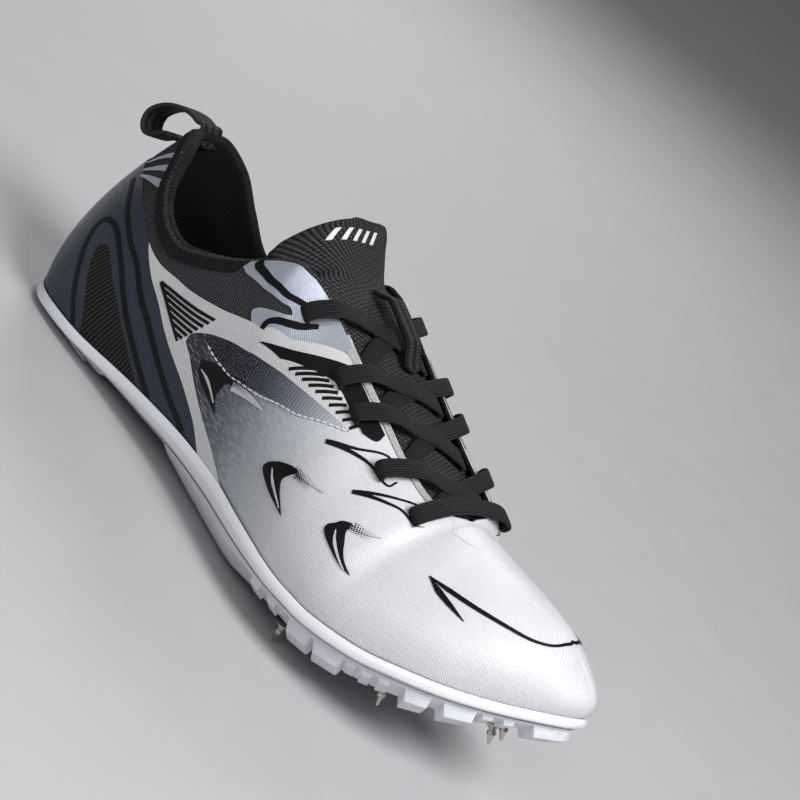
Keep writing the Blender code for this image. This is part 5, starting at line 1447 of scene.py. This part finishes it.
def make_pull_loop():
    """Webbing loop from the collar's top edge back and down to the heel."""
    top = upper_point(0.0, LATERAL, 1.0)
    heel_seat = upper_point(0.0, LATERAL, LOOP_SEAT_SHARE, GAP + WEBBING / 2)
    above = GAP * 2 + WEBBING / 2

    def behind(back, fall):
        return top + np.array([-LOOP_REACH * back, 0.0, above * (1.0 - back) - LOOP_HANG * fall])

    inside = top + np.array([2.2 * UPPER_WALL, 0.0, -0.006])
    line = (inside, top + np.array([UPPER_WALL, 0.0, above]), top + np.array([-UPPER_WALL, 0.0, above]),
            *[behind(back, fall) for back, fall in LOOP_BENDS],
            heel_seat + np.array([-LOOP_REACH * 0.22, 0.0, -LOOP_HANG * 0.03]), heel_seat)
    piece = band("finger_loop", stand(line), ACROSS, LOOP_WIDTH, WEBBING, webbing_rib, columns=LOOP_COLUMNS,
                 roundness=WEBBING_SQUARENESS)
    seat(piece, "webbing", "pull_loop")


# The sole

def ring_spot(turn, inset):
    angle, side = unwrap(turn)
    return angle, inset_point(angle, side, inset(angle))


def midsole_rings():
    """Insets and heights of the level lines round the sole, from the footbed to the keel."""
    def shore(angle):
        return crease_inset(angle) - GAP

    def edge_in(angle):
        return BALL_WIDTH * sole_curves["edge_in"](angle)

    def keel_in(angle):
        return BALL_WIDTH * sole_curves["keel_in"](angle)

    def edge_height(angle, x):
        return crease_height(x) - CREASE_HEIGHT * sole_curves["edge_down"](angle)

    return (
        (shore, lambda angle, x: crease_height(x) - GAP),
        (lambda angle: 0.8 * shore(angle), lambda angle, x: crease_height(x) + LIP_HEIGHT),
        (lambda angle: 0.45 * shore(angle), lambda angle, x: crease_height(x) + LIP_HEIGHT),
        (lambda angle: 0.08 * shore(angle), lambda angle, x: crease_height(x) - LIP_HEIGHT),
        (lambda angle: 0.0 * angle, lambda angle, x: crease_height(x) - 3 * LIP_HEIGHT),
        (lambda angle: edge_in(angle) / 4,
         lambda angle, x: 0.4 * (crease_height(x) - 3 * LIP_HEIGHT) + 0.6 * edge_height(angle, x)),
        (edge_in, edge_height),
        (keel_in, lambda angle, x: under_height(x)),
    )


COVER_COLUMNS = 12


def closed_sole(name, rings, around, steps, finish, top_lift, under_lift):
    """A closed form from level rings: they are smoothed into each other and closed over both middles."""
    turn = np.linspace(0.0, 2 * HALF, around + 1)
    loops = []
    for inset, height in rings:
        angle, plan = ring_spot(turn, inset)
        loops.append(np.column_stack([plan, height(angle, plan[:, 0])]))
    side = smooth_line(loops, steps * (len(rings) - 1) + 1)
    opposite = side[:, ::-1]
    shares = np.linspace(0.5, 0.0, COVER_COLUMNS + 1)

    def cover(loop, other, lift, share):
        points = loop + (other - loop) * share
        points[:, 2] += lift(points[:, 0]) * math.sin(math.pi * share) ** 2
        return points

    top = [cover(side[0].copy(), opposite[0], top_lift, share) for share in shares[:-1]]
    bottom = [cover(side[-1].copy(), opposite[-1], under_lift, share) for share in shares[::-1][1:]]
    grid = np.array([*top, *side, *bottom])
    rows = len(grid) - 1
    climb = way_along(grid[:, around // 4])
    way = way_along(grid[len(grid) // 2])

    def shape(u, v):
        return stand(grid[np.rint(v * rows).astype(int), np.rint(u * around).astype(int)])

    def lengths(u, v):
        return way[np.rint(u * around).astype(int)], climb[np.rint(v * rows).astype(int)]

    return lay(name, around, rows, shape, lengths, finish)


HOLLOW_DEPTH = 0.10        # of the arch's underside, a share of CREASE_HEIGHT
HOLLOW_START = (0.16, 0.30)
HOLLOW_END = (0.36, 0.42)


def level(x):
    return 0.0 * x


def make_midsole():
    """White moulded shell with its rolled rim, undercut side and hollowed bottom."""
    def hollow(x):
        along = x / SOLE_LENGTH
        return CREASE_HEIGHT * HOLLOW_DEPTH * ease(*HOLLOW_START, along) * (1.0 - ease(*HOLLOW_END, along))

    piece = closed_sole("sole_shell", midsole_rings(), 320, 6, white_rubber, level, hollow)
    seat(piece, "midsole", "midsole")


def make_insole():
    """Thin sock liner on the footbed."""
    def inset(angle):
        return crease_inset(angle) + UPPER_WALL + 2 * GAP

    rings = ((inset, lambda angle, x: crease_height(x) + INSOLE_WALL),
             (lambda angle: inset(angle) - GAP / 2, lambda angle, x: crease_height(x) + INSOLE_WALL / 2),
             (inset, lambda angle, x: crease_height(x)))
    piece = closed_sole("sock_liner", rings, 160, 4, insole_knit, lambda x: -INSOLE_WALL / 5 + 0.0 * x, level)
    seat(piece, "insole", "insole")


FLAT_ANGLE = 1.0           # faces that lean less than this from each other are one face
EDGE_ANGLE = 28.0          # edges sharper than this are rounded
SHADE_ANGLE = 40.0


def softened(node, name, slot, finish, width):
    """A copy of a CAD node with its doubles merged and its edges rounded by a bevel."""
    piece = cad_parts[node].copy()
    piece.data = piece.data.copy()
    piece.data.materials.clear()
    piece.parent = None
    piece.name = piece.data.name = name
    bpy.context.scene.collection.objects.link(piece)
    start_alone(piece)
    bpy.ops.object.mode_set(mode="EDIT")
    bpy.ops.mesh.select_all(action="SELECT")
    bpy.ops.mesh.remove_doubles(threshold=MERGE)
    bpy.ops.mesh.dissolve_limited(angle_limit=math.radians(FLAT_ANGLE))
    bpy.ops.object.mode_set(mode="OBJECT")
    bevel = piece.modifiers.new("edges", "BEVEL")
    bevel.width = width
    bevel.segments = 3
    bevel.limit_method = "ANGLE"
    bevel.angle_limit = math.radians(EDGE_ANGLE)
    bpy.ops.object.modifier_apply(modifier="edges")
    bpy.ops.object.shade_smooth_by_angle(angle=math.radians(SHADE_ANGLE))
    piece.data.materials.append(finish)
    return seat(piece, slot, node)


def plate_bottom(x):
    angle = angle_of(x / SOLE_LENGTH)
    return under_height(x) - GAP - CREASE_HEIGHT * plate_curve(angle)


RIB_PLACES = (-0.25, -0.13, 0.0, 0.13, 0.25)
RIB_WAY = (0.43, 0.48, 0.53, 0.58, 0.63, 0.67)
RIB_FAN = 0.45
RIB_WIDTH = 0.0034
RIB_THICKNESS = 0.0014
RIB_SPREAD = 0.8
RIB_ROUNDNESS = 0.8


def make_flutes():
    """Low ribs that fan out from the arch over the plate's underside."""
    low_ribs = []
    for number, place in enumerate(RIB_PLACES):
        line = []
        for way in RIB_WAY:
            spread = 1.0 + RIB_FAN * float(ease(RIB_WAY[0], RIB_WAY[-1], way))
            x = way * SOLE_LENGTH
            line.append((x, place * BALL_WIDTH * spread * RIB_SPREAD, plate_bottom(x)))
        low_ribs.append(band(f"rib_{number}", stand(line), ACROSS, RIB_WIDTH, RIB_THICKNESS, plate_plastic,
                             columns=48, roundness=RIB_ROUNDNESS))
    seat(join("plate_ribs", low_ribs), "spike_plate")


def toe_slope(x):
    step = SOLE_LENGTH / 100
    return math.atan2(under_height(x + step) - under_height(x - step), 2 * step)


# Turned profiles: socket and nut in shares of the seat's radius and height, and the shank's thread in
# shares of PIN_RADIUS and of the way from the seat to the tip
SOCKET = ((0.96, 0.0), (1.0, 0.10), (1.0, 0.50), (0.94, 0.62), (0.80, 0.62))
NUT = ((0.78, 0.50), (0.78, 0.92), (0.70, 1.0))
THREAD = ((1.0, 0.10), (0.66, 0.16), (0.62, 0.26), (0.86, 0.30), (0.80, 0.48), (0.60, 0.55))
TIP_ROUNDING = 0.0004


def make_pin(number, row):
    """Steel pin with its flanged nut in a black socket, at right angles to the sole."""
    x, y = row[0] * SOLE_LENGTH, row[1] * BALL_WIDTH
    lean = toe_slope(x) if number > FLOOR_PINS else 0.0
    length = SEAT_HEIGHT + PIN_LENGTH
    root_x = x - math.sin(lean) * length
    lowest = min(plate_bottom(root_x + way * SEAT_RADIUS) for way in (-1, 0, 1))
    root = np.array([root_x, y, (plate_bottom(root_x) if lean else lowest) - GAP])
    if number <= FLOOR_PINS:
        length = root[2] - floor_height(x)
    turn = (STAND.to_3x3() @ Matrix.Rotation(-lean, 3, "Y")).to_quaternion()
    tip = length - SEAT_HEIGHT
    socket = [(SEAT_RADIUS * wide, SEAT_HEIGHT * deep) for wide, deep in SOCKET]
    nut = [(SEAT_RADIUS * wide, SEAT_HEIGHT * deep) for wide, deep in NUT]
    shank = [(PIN_RADIUS * 1.05, SEAT_HEIGHT * 0.9),
             *[(PIN_RADIUS * wide, SEAT_HEIGHT + tip * deep) for wide, deep in THREAD],
             (PIN_TIP_RADIUS * 1.1, length - TIP_ROUNDING), (PIN_TIP_RADIUS * 0.7, length)]
    place = stand(root)
    seat(turned(f"socket_{number}", socket, 40, place, turn, black_socket), "spike", f"spike_{number}")
    pieces = [turned(f"nut_{number}", nut, 6, place, turn, pin_steel, 20.0),
              turned(f"shank_{number}", shank, 32, place, turn, pin_steel)]
    seat(join(f"pin_{number}", pieces), "spike", f"spike_{number}")


# The floor, the light and the camera

EYE = Vector((0.62438, -0.84256, 0.40195))
LOOK = Vector((-0.49005, 0.81313, -0.31413)).normalized()
ROLL = math.radians(-40.28)
LENS = 135.35
FLOOR_SIZE = 6.0
FLOOR_PLACE = (0.1, 0.0, -0.0005)
LIT_PLACE = (0.11, 0.0, 0.05)
# Lights: name, place, size and power
LIGHTS = (
    ("key", (0.85, -0.22, 0.95), 0.6, 16.0),
    ("side", (0.30, -1.10, 0.85), 0.8, 4.5),
    ("back", (-0.60, 0.70, 0.60), 0.5, 4.5),
)
WORLD_COLOUR = (0.80, 0.82, 0.85, 1.0)
WORLD_STRENGTH = 0.17


def make_stage():
    """Pale floor under the shoe."""
    start_alone()
    bpy.ops.mesh.primitive_grid_add(x_subdivisions=4, y_subdivisions=4, size=FLOOR_SIZE, location=FLOOR_PLACE)
    floor = bpy.context.object
    floor.name = "floor"
    floor.data.materials.append(floor_finish)


def make_lights():
    """Round soft lights that face the shoe's middle."""
    for name, place, size, power in LIGHTS:
        light = bpy.data.lights.new(name, "AREA")
        light.shape = "DISK"
        light.size = size
        light.energy = power
        lamp = bpy.data.objects.new(name, light)
        lamp.location = place
        lamp.rotation_euler = (Vector(LIT_PLACE) - Vector(place)).to_track_quat("-Z", "Y").to_euler()
        bpy.context.scene.collection.objects.link(lamp)


def make_camera():
    """Camera at the photograph's angle to the shoe, rolled."""
    beside = LOOK.cross(Vector((0.0, 0.0, 1.0))).normalized()
    upright = beside.cross(LOOK)
    up = math.cos(ROLL) * upright + math.sin(ROLL) * beside
    right = math.cos(ROLL) * beside - math.sin(ROLL) * upright
    camera = bpy.data.cameras.new("camera")
    camera.lens = LENS
    camera.sensor_width = 36.0
    camera.clip_start = 0.05
    holder = bpy.data.objects.new("camera", camera)
    turn = Matrix((right, up, -LOOK)).transposed().to_4x4()
    holder.matrix_world = Matrix.Translation(EYE) @ turn
    bpy.context.scene.collection.objects.link(holder)
    bpy.context.scene.camera = holder


def make_world():
    world = bpy.data.worlds.new("studio")
    world.use_nodes = True
    background = world.node_tree.nodes["Background"].inputs
    background["Color"].default_value = WORLD_COLOUR
    background["Strength"].default_value = WORLD_STRENGTH
    bpy.context.scene.world = world


make_stage()
make_camera()
make_world()
make_lights()
bpy.context.scene.view_settings.view_transform = "Standard"

make_upper()
make_films()
make_tongue()
make_laces()
make_keeper()
make_pull_loop()
make_midsole()
make_insole()
softened("heel_pad", "heel_grip", "heel_pad", clear_rubber, 0.0003)
softened("spike_plate", "fore_plate", "spike_plate", plate_plastic, 0.0005)
make_flutes()
for number, row in enumerate(PINS, start=1):
    make_pin(number, row)
